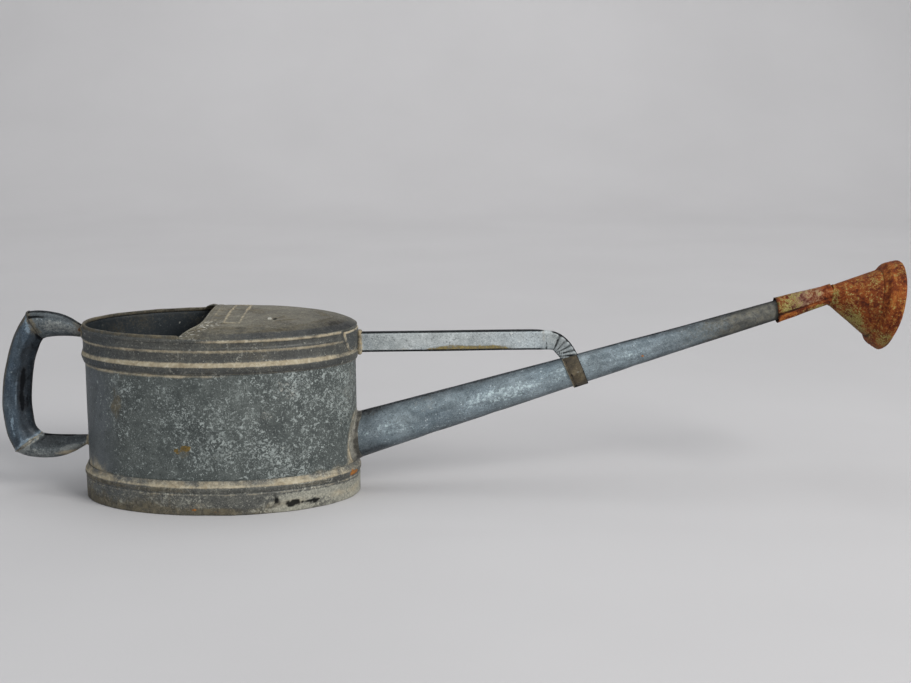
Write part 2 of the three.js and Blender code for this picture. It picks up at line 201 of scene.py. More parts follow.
def tube_faces(nu, nv, cap_start=True, cap_end=True):
    """Faces of a tube of nu rings with nv points each, with a middle point at a capped end."""
    faces = quads(nu, nv, False, True)
    extra = nu * nv
    if cap_start:
        faces += [[(j + 1) % nv, j, extra] for j in range(nv)]
        extra += 1
    if cap_end:
        base = (nu - 1) * nv
        faces += [[base + j, base + (j + 1) % nv, extra] for j in range(nv)]
    return faces


def capped(rings, cap_start=True, cap_end=True):
    points = rings.reshape(-1, 3)
    more = []
    if cap_start:
        more.append(rings[0].mean(0))
    if cap_end:
        more.append(rings[-1].mean(0))
    return np.vstack([points] + [m[None] for m in more])


def bead(name, path, radius, material, body, closed=True, seed=3, lumps=0.45, flat=None, paint=None, sides=10):
    """A lumpy run of solder along a path. flat squeezes it along one direction."""
    path = np.asarray(path, float)
    n = len(path)
    if closed:
        tangent = np.roll(path, -1, 0) - np.roll(path, 1, 0)
    else:
        tangent = np.gradient(path, axis=0)
    tangent /= np.linalg.norm(tangent, axis=1)[:, None] + 1e-9
    ref = np.tile(np.array([0.31, 0.17, 0.93]), (n, 1))
    if flat is not None:
        ref = np.asarray(flat, float) + np.zeros((n, 3))
    ref = ref - tangent * (ref * tangent).sum(1)[:, None]
    ref /= np.linalg.norm(ref, axis=1)[:, None] + 1e-9
    side = np.cross(tangent, ref)
    r = np.asarray(radius, float) + np.zeros(n)
    if not closed:
        r = r * np.clip(np.minimum(np.arange(n), np.arange(n)[::-1]) / max(3, n * 0.08), 0.12, 1) ** 0.6
    a = np.linspace(0, TAU, sides, endpoint=False)
    squeeze = 0.55 if flat is not None else 1.0
    rings = (path[:, None] + r[:, None, None] * (np.cos(a)[None, :, None] * squeeze * ref[:, None]
                                                + np.sin(a)[None, :, None] * side[:, None]))
    out = rings - path[:, None]
    k = 1 + lumps * fbm(rings, 4.2, seed, 2)[..., None] + 0.4 * lumps * noise(rings, 1.8, seed + 5)[..., None]
    rings = path[:, None] + out * k
    if closed:
        return piece(name, rings, quads(n, sides, True, True), material, body, paint=paint)
    return piece(name, capped(rings), tube_faces(n, sides), material, body, paint=paint)


# ------------------------------------------------------------------ materials
def lin(r, g, b):
    def one(v):
        v /= 255.0
        return v / 12.92 if v <= 0.04045 else ((v + 0.055) / 1.055) ** 2.4
    return (one(r), one(g), one(b), 1.0)


class Nodes:
    """Short names for building a node material."""

    def __init__(self, name):
        self.material = bpy.data.materials.new(name)
        self.material.use_nodes = True
        self.tree = self.material.node_tree
        self.shader = self.tree.nodes["Principled BSDF"]
        self.coord = self.tree.nodes.new("ShaderNodeTexCoord").outputs["Object"]

    def new(self, kind):
        return self.tree.nodes.new(kind)

    def put(self, socket, value):
        if isinstance(value, bpy.types.NodeSocket):
            self.tree.links.new(value, socket)
        else:
            socket.default_value = value

    def noise(self, scale, detail=3.0, rough=0.55, bend=0.0, stretch=None, shift=None):
        n = self.new("ShaderNodeTexNoise")
        n.inputs["Scale"].default_value = scale
        n.inputs["Detail"].default_value = detail
        n.inputs["Roughness"].default_value = rough
        n.inputs["Distortion"].default_value = bend
        self.put(n.inputs["Vector"], self.moved(stretch, shift))
        return n.outputs["Fac"]

    def moved(self, stretch=None, shift=None):
        if stretch is None and shift is None:
            return self.coord
        m = self.new("ShaderNodeMapping")
        self.put(m.inputs["Vector"], self.coord)
        if stretch is not None:
            m.inputs["Scale"].default_value = stretch
        if shift is not None:
            m.inputs["Location"].default_value = shift
        return m.outputs["Vector"]

    def cells(self, scale, feature="F1", shift=None, stretch=None, random=1.0):
        v = self.new("ShaderNodeTexVoronoi")
        v.feature = feature
        v.inputs["Scale"].default_value = scale
        v.inputs["Randomness"].default_value = random
        self.put(v.inputs["Vector"], self.moved(stretch, shift))
        return v

    def attr(self, key):
        a = self.new("ShaderNodeAttribute")
        a.attribute_name = key
        return a.outputs["Fac"]

    def math(self, op, a, b=0.0, clamp=False):
        m = self.new("ShaderNodeMath")
        m.operation = op
        m.use_clamp = clamp
        self.put(m.inputs[0], a)
        self.put(m.inputs[1], b)
        return m.outputs[0]

    def range(self, x, a, b, lo=0.0, hi=1.0, smooth=True):
        m = self.new("ShaderNodeMapRange")
        m.interpolation_type = "SMOOTHSTEP" if smooth else "LINEAR"
        m.clamp = True
        self.put(m.inputs["Value"], x)
        m.inputs["From Min"].default_value = a
        m.inputs["From Max"].default_value = b
        m.inputs["To Min"].default_value = lo
        m.inputs["To Max"].default_value = hi
        return m.outputs["Result"]

    def ramp(self, x, stops):
        r = self.new("ShaderNodeValToRGB")
        r.color_ramp.interpolation = "LINEAR"
        e = r.color_ramp.elements
        e[0].position, e[0].color = stops[0]
        e[1].position, e[1].color = stops[-1]
        for place, colour in stops[1:-1]:
            k = e.new(place)
            k.color = colour
        self.put(r.inputs["Fac"], x)
        return r.outputs["Color"]

    def mix(self, fac, a, b, blend="MIX"):
        m = self.new("ShaderNodeMix")
        m.data_type = "RGBA"
        m.blend_type = blend
        m.clamp_factor = True
        self.put(m.inputs[0], fac)
        self.put(m.inputs[6], a)
        self.put(m.inputs[7], b)
        return m.outputs[2]

    def ragged(self, key, wobble, lo=0.4, hi=0.6):
        """A painted mask whose border is broken up by a noise."""
        return self.range(self.math("ADD", self.attr(key), wobble), lo, hi)

    def finish(self, colour, rough, metal, height, strength, distance=0.0004):
        self.put(self.shader.inputs["Base Color"], colour)
        self.put(self.shader.inputs["Roughness"], rough)
        self.put(self.shader.inputs["Metallic"], metal)
        bump = self.new("ShaderNodeBump")
        bump.inputs["Strength"].default_value = strength
        bump.inputs["Distance"].default_value = distance
        self.put(bump.inputs["Height"], height)
        self.put(self.shader.inputs["Normal"], bump.outputs["Normal"])
        return self.material


def zinc(name, dark, mid, light, fleck, blue, inside=(20, 29, 36), metal=0.3, rough=0.52, cloud=26.0,
         fleck_size=420.0, fleck_at=0.58, streak=0.25, shift=(0, 0, 0), bump=0.4, grainy=0.4, white=(160, 160, 152),
         rusty=(140, 88, 30), clump=0.3, blot=0.07):
    """Weathered galvanised sheet. Painted masks: fleck, blue, inside, pale, dust, rust, dark, umber, shade. Inside and
    dark also paint shade into hollows, grooves and outlines. Pale and dust also paint highlights. Shade is painted
    shade.
    """
    m = Nodes(name)
    big = m.noise(cloud, 4, 0.55, 0.4, shift=shift)
    midn = m.noise(cloud * 3.6, 5, 0.62, 0.6, shift=shift)
    patch = m.noise(150, 5, 0.68, 0.9, shift=(shift[0] + 2, shift[1], shift[2]))
    small = m.noise(fleck_size, 5, 0.68, 0.5, shift=shift)
    fine = m.noise(950, 3, 0.7, 0.2, shift=shift)
    grain = m.noise(2100, 2, 0.5, shift=shift)
    run = m.noise(70, 3, 0.55, 0.3, stretch=(1.0, 1.0, 0.12), shift=shift)

    tone = m.math("ADD", m.math("MULTIPLY", big, 0.4), m.math("ADD", m.math("MULTIPLY", midn, 0.3), m.math("MULTIPLY", patch, 0.3)))
    colour = m.ramp(tone, [(0.39, lin(*dark)), (0.5, lin(*mid)), (0.62, lin(*light))])
    colour = m.mix(m.range(run, 0.52, 0.72, 0.0, streak), colour, lin(*[v * 0.62 for v in dark]))
    colour = m.mix(m.math("MULTIPLY", m.attr("blue"), m.range(midn, 0.3, 0.6, 0.45, 1.0)), colour, lin(*blue))
    colour = m.mix(m.range(fine, 0.34, 0.48, grainy, 0.0), colour, lin(*[v * 0.6 for v in dark]))
    colour = m.mix(m.range(fine, 0.53, 0.7, 0.0, grainy), colour, lin(*[min(235, v * 1.18) for v in light]))

    spread = m.math("MULTIPLY", m.math("SUBTRACT", m.attr("fleck"), 0.5), 0.2)
    dots = m.noise(fleck_size * 0.62, 2, 0.5, 0.3, shift=(shift[0] + 0.8, shift[1], shift[2] + 1.1))
    bits = m.noise(fleck_size * 1.45, 2, 0.5, 0.2, shift=(shift[0], shift[1] + 2.3, shift[2]))
    dots = m.range(m.math("ADD", m.math("ADD", dots, spread), m.math("MULTIPLY", m.math("SUBTRACT", patch, 0.5), 0.35)), fleck_at + 0.035, fleck_at + 0.1)
    bits = m.range(m.math("ADD", m.math("ADD", bits, spread), m.math("MULTIPLY", m.math("SUBTRACT", midn, 0.5), clump)), fleck_at + 0.01, fleck_at + 0.085)
    specks = m.math("MULTIPLY", m.math("MAXIMUM", dots, m.math("MULTIPLY", bits, 0.8)), m.range(fine, 0.3, 0.52, 0.55, 1.0))
    strong = m.range(m.noise(95, 3, 0.6, 0.5, shift=(shift[0] + 5, shift[1], shift[2])), 0.4, 0.64, 0.38, 1.0)
    colour = m.mix(m.math("MULTIPLY", specks, strong), colour, lin(*fleck))
    blots = m.math("ADD", m.noise(210, 5, 0.72, 1.0, shift=(shift[0], shift[1] + 1.5, shift[2])), spread)
    blots = m.math("MULTIPLY", m.range(blots, fleck_at + blot, fleck_at + blot + 0.06), m.range(fine, 0.36, 0.6, 0.35, 1.0))
    colour = m.mix(m.math("MULTIPLY", blots, 0.7), colour, lin(*[min(225, v * 1.1) for v in fleck]))
    pits = m.range(m.math("ADD", m.noise(560, 3, 0.6, 0.3, shift=(3.1, 1.7, 0.4)), m.math("MULTIPLY", big, 0.12)), 0.65, 0.73)
    colour = m.mix(m.math("MULTIPLY", pits, 0.55), colour, lin(*[v * 0.5 for v in dark]))

    # inside: hollows and undersides take a dark colour, which is painted shade
    inner = m.attr("inside")
    colour = m.mix(m.math("MULTIPLY", inner, m.range(small, 0.56, 0.7, 0.94, 0.55)), colour, lin(*inside))

    wobble = m.math("ADD", m.math("MULTIPLY", m.math("SUBTRACT", small, 0.5), 1.0),
                    m.math("ADD", m.math("MULTIPLY", m.math("SUBTRACT", midn, 0.5), 0.5), m.math("MULTIPLY", m.math("SUBTRACT", fine, 0.5), 0.5)))
    light_wobble = m.math("MULTIPLY", wobble, 0.55)
    umber = m.ragged("umber", wobble, 0.3, 0.85)
    colour = m.mix(m.math("MULTIPLY", umber, 0.75), colour,
                   m.ramp(patch, [(0.35, lin(60, 54, 42)), (0.65, lin(112, 102, 78))]))
    # pale: pale patches on the sheet, and painted highlights where a piece asks for them
    pale = m.ragged("pale", wobble, 0.35, 0.75)
    colour = m.mix(m.math("MULTIPLY", pale, 0.85), colour,
                   m.ramp(small, [(0.3, lin(*[v * 0.78 for v in white])), (0.5, lin(*white)), (0.7, lin(*[min(238, v * 1.27) for v in white]))]))
    shade = m.attr("shade")
    colour = m.mix(m.math("MULTIPLY", shade, m.range(patch, 0.35, 0.65, 1.0, 0.8)), colour, (0.13, 0.14, 0.155, 1.0), "MULTIPLY")
    # this mask: dusty tan deposits, and painted highlights on bead ridges and raised lines
    dust = m.ragged("dust", light_wobble, 0.25, 0.8)
    colour = m.mix(m.math("MULTIPLY", dust, 0.92), colour,
                   m.ramp(patch, [(0.3, lin(132, 120, 97)), (0.5, lin(166, 155, 131)), (0.7, lin(196, 188, 166))]))
    rust = m.ragged("rust", light_wobble, 0.35, 0.65)
    colour = m.mix(m.math("MULTIPLY", rust, 0.95), colour, m.ramp(small, [(0.3, lin(*[v * 0.62 for v in rusty])), (0.5, lin(*rusty)), (0.7, lin(*[min(235, v * 1.36) for v in rusty]))]))
    # dark: stains, and painted shade in grooves, gaps and along outlines
    black = m.ragged("dark", light_wobble, 0.25, 0.85)
    colour = m.mix(m.math("MULTIPLY", black, 0.96), colour, lin(9, 11, 14))
    m.put(m.shader.inputs["Specular IOR Level"], m.range(black, 0.2, 1.0, 0.5, 0.1))

    dull = m.math("MAXIMUM", m.math("MAXIMUM", dust, rust), m.math("MAXIMUM", m.math("MULTIPLY", umber, 0.6), black))
    rough_now = m.math("ADD", m.range(m.math("ADD", small, m.math("MULTIPLY", grain, 0.5)), 0.5, 1.0, rough - 0.1, rough + 0.16),
                       m.math("MULTIPLY", dull, 0.3), True)
    metal_now = m.math("MULTIPLY", m.math("SUBTRACT", 1.0, dull, True), metal)
    height = m.math("ADD", m.math("MULTIPLY", small, 0.6), m.math("MULTIPLY", grain, 0.3))
    height = m.math("ADD", height, m.math("ADD", m.math("MULTIPLY", midn, 0.9), m.math("MULTIPLY", patch, 0.5)))
    height = m.math("ADD", height, m.math("MULTIPLY", m.math("ADD", dust, m.math("ADD", pale, rust)), 0.3))
    height = m.math("SUBTRACT", height, m.math("MULTIPLY", pits, 0.5))
    return m.finish(colour, rough_now, metal_now, height, bump)


def rusted(name, shift=(0, 0, 0)):
    """Rust with remnants of paint. Painted masks: paint, dark, plum, bright. Dark also carries painted shade in
    grooves, gaps and along outlines.
    """
    m = Nodes(name)
    big = m.noise(34, 4, 0.6, 0.5, shift=shift)
    midn = m.noise(130, 5, 0.68, 0.6, shift=shift)
    small = m.noise(420, 5, 0.7, 0.5, shift=shift)
    fine = m.noise(1000, 3, 0.7, 0.3, shift=shift)
    grain = m.noise(2200, 2, 0.6, shift=shift)
    tone = m.math("ADD", m.math("MULTIPLY", big, 0.24), m.math("ADD", m.math("MULTIPLY", midn, 0.46), m.math("MULTIPLY", small, 0.3)))
    colour = m.ramp(tone, [(0.37, lin(46, 18, 8)), (0.45, lin(92, 39, 15)), (0.515, lin(126, 62, 23)), (0.58, lin(152, 89, 37)), (0.66, lin(176, 121, 62))])
    wobble = m.math("ADD", m.math("MULTIPLY", m.math("SUBTRACT", small, 0.5), 1.7),
                    m.math("ADD", m.math("MULTIPLY", m.math("SUBTRACT", midn, 0.5), 1.3), m.math("MULTIPLY", m.math("SUBTRACT", fine, 0.5), 0.8)))
    bright = m.ragged("bright", wobble, 0.3, 0.8)
    colour = m.mix(m.math("MULTIPLY", bright, 0.7), colour, m.ramp(small, [(0.3, lin(130, 70, 24)), (0.7, lin(184, 118, 50))]))
    plum = m.ragged("plum", wobble, 0.3, 0.8)
    colour = m.mix(m.math("MULTIPLY", plum, 0.85), colour, m.ramp(midn, [(0.34, lin(80, 46, 40)), (0.46, lin(116, 88, 74)), (0.56, lin(146, 124, 98)), (0.7, lin(170, 156, 130))]))
    paint = m.ragged("paint", m.math("MULTIPLY", wobble, 1.35), 0.42, 0.8)
    colour = m.mix(m.math("MULTIPLY", paint, 0.88), colour,
                   m.ramp(fine, [(0.32, lin(86, 78, 34)), (0.5, lin(130, 120, 62)), (0.68, lin(174, 164, 108))]))
    pits = m.range(m.math("ADD", m.math("MULTIPLY", m.noise(330, 5, 0.7, 0.5, shift=(1.3, 0.2, 2.7)), 0.8), m.math("MULTIPLY", fine, 0.2)), 0.56, 0.66)
    colour = m.mix(m.math("MULTIPLY", pits, 0.7), colour, lin(54, 26, 13))
    black = m.ragged("dark", m.math("MULTIPLY", wobble, 0.5), 0.25, 0.85)
    colour = m.mix(m.math("MULTIPLY", black, 0.9), colour, lin(24, 14, 8))
    rough = m.range(m.math("ADD", small, m.math("MULTIPLY", grain, 0.5)), 0.4, 1.1, 0.66, 0.95)
    height = m.math("ADD", m.math("MULTIPLY", midn, 0.8), m.math("ADD", m.math("MULTIPLY", small, 0.8), m.math("MULTIPLY", grain, 0.35)))
    height = m.math("SUBTRACT", m.math("ADD", height, m.math("MULTIPLY", paint, 0.35)), m.math("MULTIPLY", pits, 0.6))
    m.shader.inputs["Specular IOR Level"].default_value = 0.2
    return m.finish(colour, rough, 0.0, height, 0.6, 0.0005)


def tinned(name, shift=(0, 0, 0)):
    """Old solder: pale grey lumps with tan dirt in the hollows. Painted masks: dust, dark. On the spout's flare, dark
    is also painted shade where it meets the spout.
    """
    m = Nodes(name)
    midn = m.noise(160, 4, 0.6, 0.5, shift=shift)
    small = m.noise(520, 4, 0.65, 0.4, shift=shift)
    grain = m.noise(2000, 2, 0.5, shift=shift)
    colour = m.ramp(m.math("ADD", m.math("MULTIPLY", midn, 0.5), m.math("MULTIPLY", small, 0.5)),
                    [(0.34, lin(74, 72, 64)), (0.47, lin(118, 116, 106)), (0.56, lin(150, 148, 138)), (0.68, lin(192, 190, 180))])
    wobble = m.math("ADD", m.math("MULTIPLY", m.math("SUBTRACT", small, 0.5), 1.1), m.math("MULTIPLY", m.math("SUBTRACT", midn, 0.5), 0.8))
    dust = m.ragged("dust", wobble, 0.3, 0.8)
    colour = m.mix(m.math("MULTIPLY", dust, 0.85), colour, m.ramp(midn, [(0.3, lin(110, 94, 66)), (0.7, lin(170, 154, 120))]))
    black = m.ragged("dark", wobble, 0.3, 0.8)
    colour = m.mix(m.math("MULTIPLY", black, 0.85), colour, lin(34, 32, 28))
    rough = m.range(m.math("ADD", small, m.math("MULTIPLY", dust, 0.4)), 0.35, 0.9, 0.42, 0.8)
    metal = m.range(dust, 0.0, 1.0, 0.4, 0.0)
    height = m.math("ADD", midn, m.math("ADD", m.math("MULTIPLY", small, 0.6), m.math("MULTIPLY", grain, 0.2)))
    return m.finish(colour, rough, metal, height, 0.5, 0.0005)


WALL = zinc("zinc_body", (62, 68, 67), (79, 85, 83), (99, 105, 102), (160, 168, 165), (102, 108, 113), cloud=22.0, fleck_size=460.0, fleck_at=0.58,
            rusty=(98, 79, 33), clump=0.16, blot=0.035)
BAND = zinc("zinc_band", (58, 59, 57), (74, 75, 72), (92, 92, 86), (142, 142, 133), (62, 70, 77), cloud=40.0,
            fleck_size=460.0, fleck_at=0.60, shift=(0.7, 0.2, 0.4), grainy=0.5)
FOOT = zinc("zinc_foot", (66, 67, 65), (88, 89, 85), (112, 112, 104), (156, 156, 145), (74, 82, 88), cloud=40.0,
            fleck_size=460.0, fleck_at=0.60, shift=(0.7, 0.2, 0.4), grainy=0.5, white=(150, 149, 137))
COVER = zinc("zinc_cover", (78, 76, 68), (105, 102, 90), (130, 126, 111), (152, 147, 131), (84, 88, 90), cloud=30.0,
             fleck_size=520.0, fleck_at=0.61, streak=0.1, shift=(0.3, 0.9, 0.1), metal=0.2, rough=0.62, grainy=0.5, white=(186, 184, 174))
HANDLE = zinc("zinc_handle", (44, 53, 61), (70, 82, 91), (102, 113, 119), (146, 157, 163), (58, 76, 93), cloud=40.0,
              fleck_size=400.0, fleck_at=0.655, streak=0.35, shift=(0.1, 0.4, 0.8), metal=0.35, rough=0.44, grainy=0.45, white=(116, 132, 144))
ARM = zinc("zinc_arm", (50, 56, 58), (81, 87, 89), (110, 116, 117), (150, 158, 160), (66, 80, 90), cloud=40.0,
           fleck_size=400.0, fleck_at=0.655, streak=0.3, shift=(0.5, 0.1, 0.3), metal=0.35, rough=0.46, grainy=0.5, white=(124, 128, 126), rusty=(98, 66, 28))
SPOUT = zinc("zinc_spout", (92, 103, 108), (126, 138, 143), (160, 172, 177), (200, 210, 214), (112, 129, 139), cloud=30.0,
             fleck_size=360.0, fleck_at=0.65, streak=0.12, shift=(0.9, 0.6, 0.2), metal=0.3, rough=0.46, grainy=0.4, white=(172, 187, 193))
BRACE = zinc("zinc_brace", (142, 149, 149), (170, 176, 176), (194, 200, 200), (210, 215, 214), (140, 157, 168), cloud=36.0,
             fleck_size=420.0, fleck_at=0.60, streak=0.1, shift=(0.2, 0.1, 0.5), metal=0.25, rough=0.5, grainy=0.45, white=(184, 192, 194), rusty=(116, 103, 62))
SOLDER = tinned("solder")
STRAP = zinc("brown_strap", (46, 39, 27), (60, 51, 36), (80, 69, 50), (112, 100, 78), (64, 62, 56), cloud=60.0,
             fleck_size=460.0, fleck_at=0.61, streak=0.2, shift=(0.4, 0.4, 0.9), metal=0.15, rough=0.58)
ROSE = rusted("rusted_paint")


def by_height(z, table):
    """A painted strength read from (height, strength) pairs."""
    table = sorted(table)
    return np.interp(z, [q[0] for q in table], [q[1] for q in table])


def outward(co, normal):
    """How much a normal points away from the oval body's middle."""
    x, y = co[:, 0] / LONG ** 2, co[:, 1] / WIDE ** 2
    return (normal[:, 0] * x + normal[:, 1] * y) / np.maximum(np.hypot(x, y), 1e-9)


# ------------------------------------------------------------------ shared shape of the body
def dents(points):
    """How far the body's sheet lies in or out of its true oval."""
    out = 0.42 * fbm(points, 62, 11, 2) + 0.14 * fbm(points, 19, 23, 2)
    for c, r, d in (((-52, -80, 72), 26, -0.7), ((35, -85, 118), 30, -0.5), ((96, -58, 84), 24, 0.45),
                    ((-100, -58, 106), 22, -0.5), ((40, 84, 70), 34, -0.9), ((-70, 74, 118), 24, -0.6),
                    ((14, -88, 52), 20, 0.4)):
        out = out + d * np.exp(-((points - np.array(c)) ** 2).sum(-1) / (r * r))
    return out


def band(profile, count):
    """Points of a profile [offset, height] swept round the oval."""
    t = np.linspace(0, TAU, count, endpoint=False)
    p = profile[None, :, 0] if profile.ndim == 2 else profile[:, :, 0]
    z = profile[None, :, 1] if profile.ndim == 2 else profile[:, :, 1]
    x, y = oval(t[:, None], p)
    points = np.stack([x, y, z + 0 * x], -1)
    nx, ny = np.cos(t) / LONG, np.sin(t) / WIDE
    n = np.hypot(nx, ny)
    d = dents(np.stack([*oval(t[:, None], 0 * p), z + 0 * x], -1))
    points[..., 0] += d * (nx / n)[:, None]
    points[..., 1] += d * (ny / n)[:, None]
    return points, t


def offset_of(points):
    """Rough distance outside the oval, for painting."""
    k = np.sqrt((points[:, 0] / LONG) ** 2 + (points[:, 1] / WIDE) ** 2)
    r = np.hypot(points[:, 0], points[:, 1])
    return r * (1 - 1 / np.maximum(k, 1e-6)) * 0.9


# ------------------------------------------------------------------ the spout's axis
AXIS = np.array([math.cos(SLOPE), 0, math.sin(SLOPE)])
ACROSS = np.array([0, -1.0, 0])
UPWARD = np.array([-math.sin(SLOPE), 0, math.cos(SLOPE)])
RADII = np.array([(90, 24.4), (110, 23.6), (140, 22.5), (240, 18.9), (333, 15.8), (372, 14.7), (432, 12.6), (480, 11.4),
                  (552, 9.8), (588, 8.8), (640, 8.2)])


def axis_at(x):
    x = np.asarray(x, float)
    return np.stack([x, 0 * x, 58.4 + math.tan(SLOPE) * (x - 140)], -1)


def radius_at(x):
    return np.interp(x, RADII[:, 0], RADII[:, 1])


def around(angle):
    """Direction across the spout: 0 is up, a quarter turn faces the viewer's side."""
    angle = np.asarray(angle, float)
    return np.cos(angle)[..., None] * UPWARD + np.sin(angle)[..., None] * ACROSS


def on_spout(x, angle, extra=0.0):
    return axis_at(x) + (radius_at(x) + extra)[..., None] * around(angle) if isinstance(extra, np.ndarray) \
        else axis_at(x) + (radius_at(x) + extra)[..., None] * around(angle)


def spout_meets(angle, p, extra=0.0):
    """Axis place where the spout's skin passes through the oval at offset p, for each direction."""
    lo, hi = np.full(angle.shape, 60.0), np.full(angle.shape, 190.0)
    for _ in range(40):
        mid = (lo + hi) / 2
        q = on_spout(mid, angle, extra)
        inside = (q[..., 0] / (LONG + p)) ** 2 + (q[..., 1] / (WIDE + p)) ** 2 < 1
        lo, hi = np.where(inside, mid, lo), np.where(inside, hi, mid)
    return (lo + hi) / 2


# ------------------------------------------------------------------ body wall
def build_wall():
    profile = rounded([(0, 2, 0.3), (0, 170.5, 0.3), (-1, 170.5, 0.3), (-1, 2, 0.3)], 2.7, 2)
    points, t = band(profile, 400)
    nu, nv = points.shape[:2]
    faces = np.array(quads(nu, nv, True, True))
    flat = points.reshape(-1, 3).copy()
    rel = flat - axis_at(np.full(len(flat), 134.0))
    up, side = rel @ UPWARD, rel @ ACROSS
    r = np.hypot(up, side)
    end = flat[:, 0] > 60
    near = end & (np.abs(r - 20.4) < 1.7)
    k = np.where(near, 20.4 / np.maximum(r, 1e-6), 1.0)
    # the hole's border is drawn onto a true circle, along the sheet
    dy, dz = side * (k - 1), up * (k - 1) * math.cos(SLOPE)
    flat[:, 1] -= dy
    flat[:, 2] += dz
    x_old = oval_x(flat[:, 1] + dy, 0)
    flat[:, 0] += np.where(near, oval_x(flat[:, 1], 0) - x_old, 0)
    centre_r = r[faces].mean(1)
    keep = ~((centre_r < 20.4) & (flat[faces][:, :, 0].mean(1) > 60))
    faces = faces[keep].tolist()
    a = np.linspace(0, TAU, 72, endpoint=False)
    rings = []
    for p in (0.05, -1.05):
        lo, hi = np.full(a.shape, 60.0), np.full(a.shape, 190.0)
        for _ in range(40):
            mid = (lo + hi) / 2
            q = axis_at(mid) + 20.4 * around(a)
            inside = (q[:, 0] / (LONG + p)) ** 2 + (q[:, 1] / (WIDE + p)) ** 2 < 1
            lo, hi = np.where(inside, mid, lo), np.where(inside, hi, mid)
        rings.append(axis_at((lo + hi) / 2) + 20.4 * around(a))
    first = len(flat)
    flat = np.vstack([flat] + rings)
    faces += quads(2, 72, False, True, first)

    def paint(co, normal):
        x, y, z = co.T
        inner = (outward(co, normal) < 0).astype(float)
        out = 1 - inner
        front = (y < 0)
        n1, n2, n3 = fbm(co, 30, 41, 3), fbm(co, 9, 42, 3), fbm(co, 3.5, 43, 2)
        fleck = 0.52 + 0.2 * step(-80, 30, x) + 0.1 * step(40, 80, x) - 0.16 * step(92, 124, x) + 0.5 * n1
        fleck -= 0.4 * np.exp(-(((x - 68) / 17) ** 2 + ((z - 84) / 22) ** 2)) * front
        fleck -= 0.2 * step(60, 36, z) * step(0, -60, x)
        fleck -= 0.4 * step(-88, -116, x)
        blue = step(-86, -118, x) * (0.8 + 0.4 * n1)
        dust = by_height(z, [(32.6, 0.9), (33.6, 0.6), (35, 0.4), (40, 0.25), (52, 0.0)]) * (0.3 + 0.75 * step(-60, -125, x) + 0.6 * step(60, 120, x)) * (0.9 + 0.6 * n2)
        dust += by_height(z, [(131.5, 0), (134, 0.38), (135.8, 0.85), (137.2, 0.75), (138, 0)]) * (0.34 + 0.75 * step(40, -40, x)) * (0.9 + 0.5 * n2)
        ring = np.hypot((co - axis_at(np.full(len(co), 134.0))) @ UPWARD, y)
        dust += np.where(x > 60, 0.62 * np.exp(-np.clip(ring - 29.5, 0, 99) / 3.0) * (0.8 + 0.5 * n2), 0)
        for c, r in (((-134, 0, 58), 13), ((-134, 0, 50), 12)):
            dust += 0.55 * spot(co, c, r, 7)
        dust += 0.35 * step(-95, -125, x) * step(75, 40, z) * (0.7 + n2)
        rust = (spot(co, (-25.5, -86.6, 65.6), (6.2, 6, 3.6), 3, 0.7, 0.8) + 0.95 * spot(co, (-33.0, -86.0, 62.2), (5.6, 6, 2.4), 4, 0.7, 0.8)) * (0.9 + 0.7 * n3)
        rust += 0.45 * spot(co, (3, -88, 57), (6, 5, 2.0), 5) + 0.3 * spot(co, (118, -40, 36), (5, 5, 1.6), 9)
        umber = 0.62 * spot(co, (-94, -63, 104), (8, 8, 17), 6, 0.7, 0.8) + 0.5 * spot(co, (-27, -87, 60), (10, 5, 8), 8, 0.5)
        umber += 0.3 * step(-30, -90, x) * (0.45 + n2) + 0.3 * step(0.2, 0.7, fbm(co * np.array([1, 1, 0.25]), 16, 47, 3)) + 0.25 * step(125, 137, z) * step(20, -60, x) + 0.35 * step(105, 128, x) * step(0, 0.5, n1 + 0.2)
        dark = 0.45 * spot(co, (83, -69, 104), (2.2, 4, 12), 12, 0.5, 0.8) + 0.25 * step(0.3, 0.8, fbm(co * np.array([1, 1, 0.2]), 11, 51, 2))
        # painted shade: a dark line on the wall just under the collar's lower edge
        dark += 0.3 * np.exp(-((z - 137.2) / 0.6) ** 2)
        # the first term lightens the right part of the wall, a painted highlight on the side the key light falls on;
        # the other terms are pale patches
        pale = 0.2 * step(20, 90, x) * (0.8 + 0.9 * n1) + 0.46 * step(0.32, 0.7, n3) * step(-90, 10, x) * step(-0.35, 0.3, n1) + 0.34 * spot(co, (50, -80, 96), (10, 15, 9), 62, 0.7) + 0.26 * spot(co, (68, -75, 118), (15, 15, 12), 63, 0.7)
        shade = 0.08 * step(-116, -132, x) + 0.3 * step(124, 134, x) * 0.6
        low = inner * step(60, 8, z)
        high = inner * step(138, 156, z)
        inside = inner * (1 - 0.04 * high)
        umber = umber * out + high * (0.3 + 0.4 * n1) * step(30, -20, x)
        # inside the can the wall is painted dark, more under the covered half, at the back and at the left end: painted
        # shade
        return {"fleck": np.where(inner > 0.5, 0.45 + 0.4 * n1, fleck), "blue": np.where(inner > 0.5, 0.75 - 0.5 * high, blue), "shade": shade * out,
                "inside": inside, "dust": dust * out + 0.5 * low * (0.6 + n2), "rust": rust * out + 0.25 * low,
                "umber": umber, "dark": dark * out + inner * (0.2 * step(20, 60, y) + 0.42 * step(-10, 30, x) + 0.3 * step(-95, -125, x) + 0.25 * step(0.1, 0.6, n1)), "pale": pale * out + 0.5 * inner * step(0.3, 0.6, n3) * step(90, 110, z) * step(-90, -60, x) + 0.85 * inner * (y > 0) * step(0.26, 0.5, n3) * step(-70, -40, x) * step(168, 158, z)}

    piece("wall_skin", flat, faces, WALL, "can", ["body_wall"], paint)


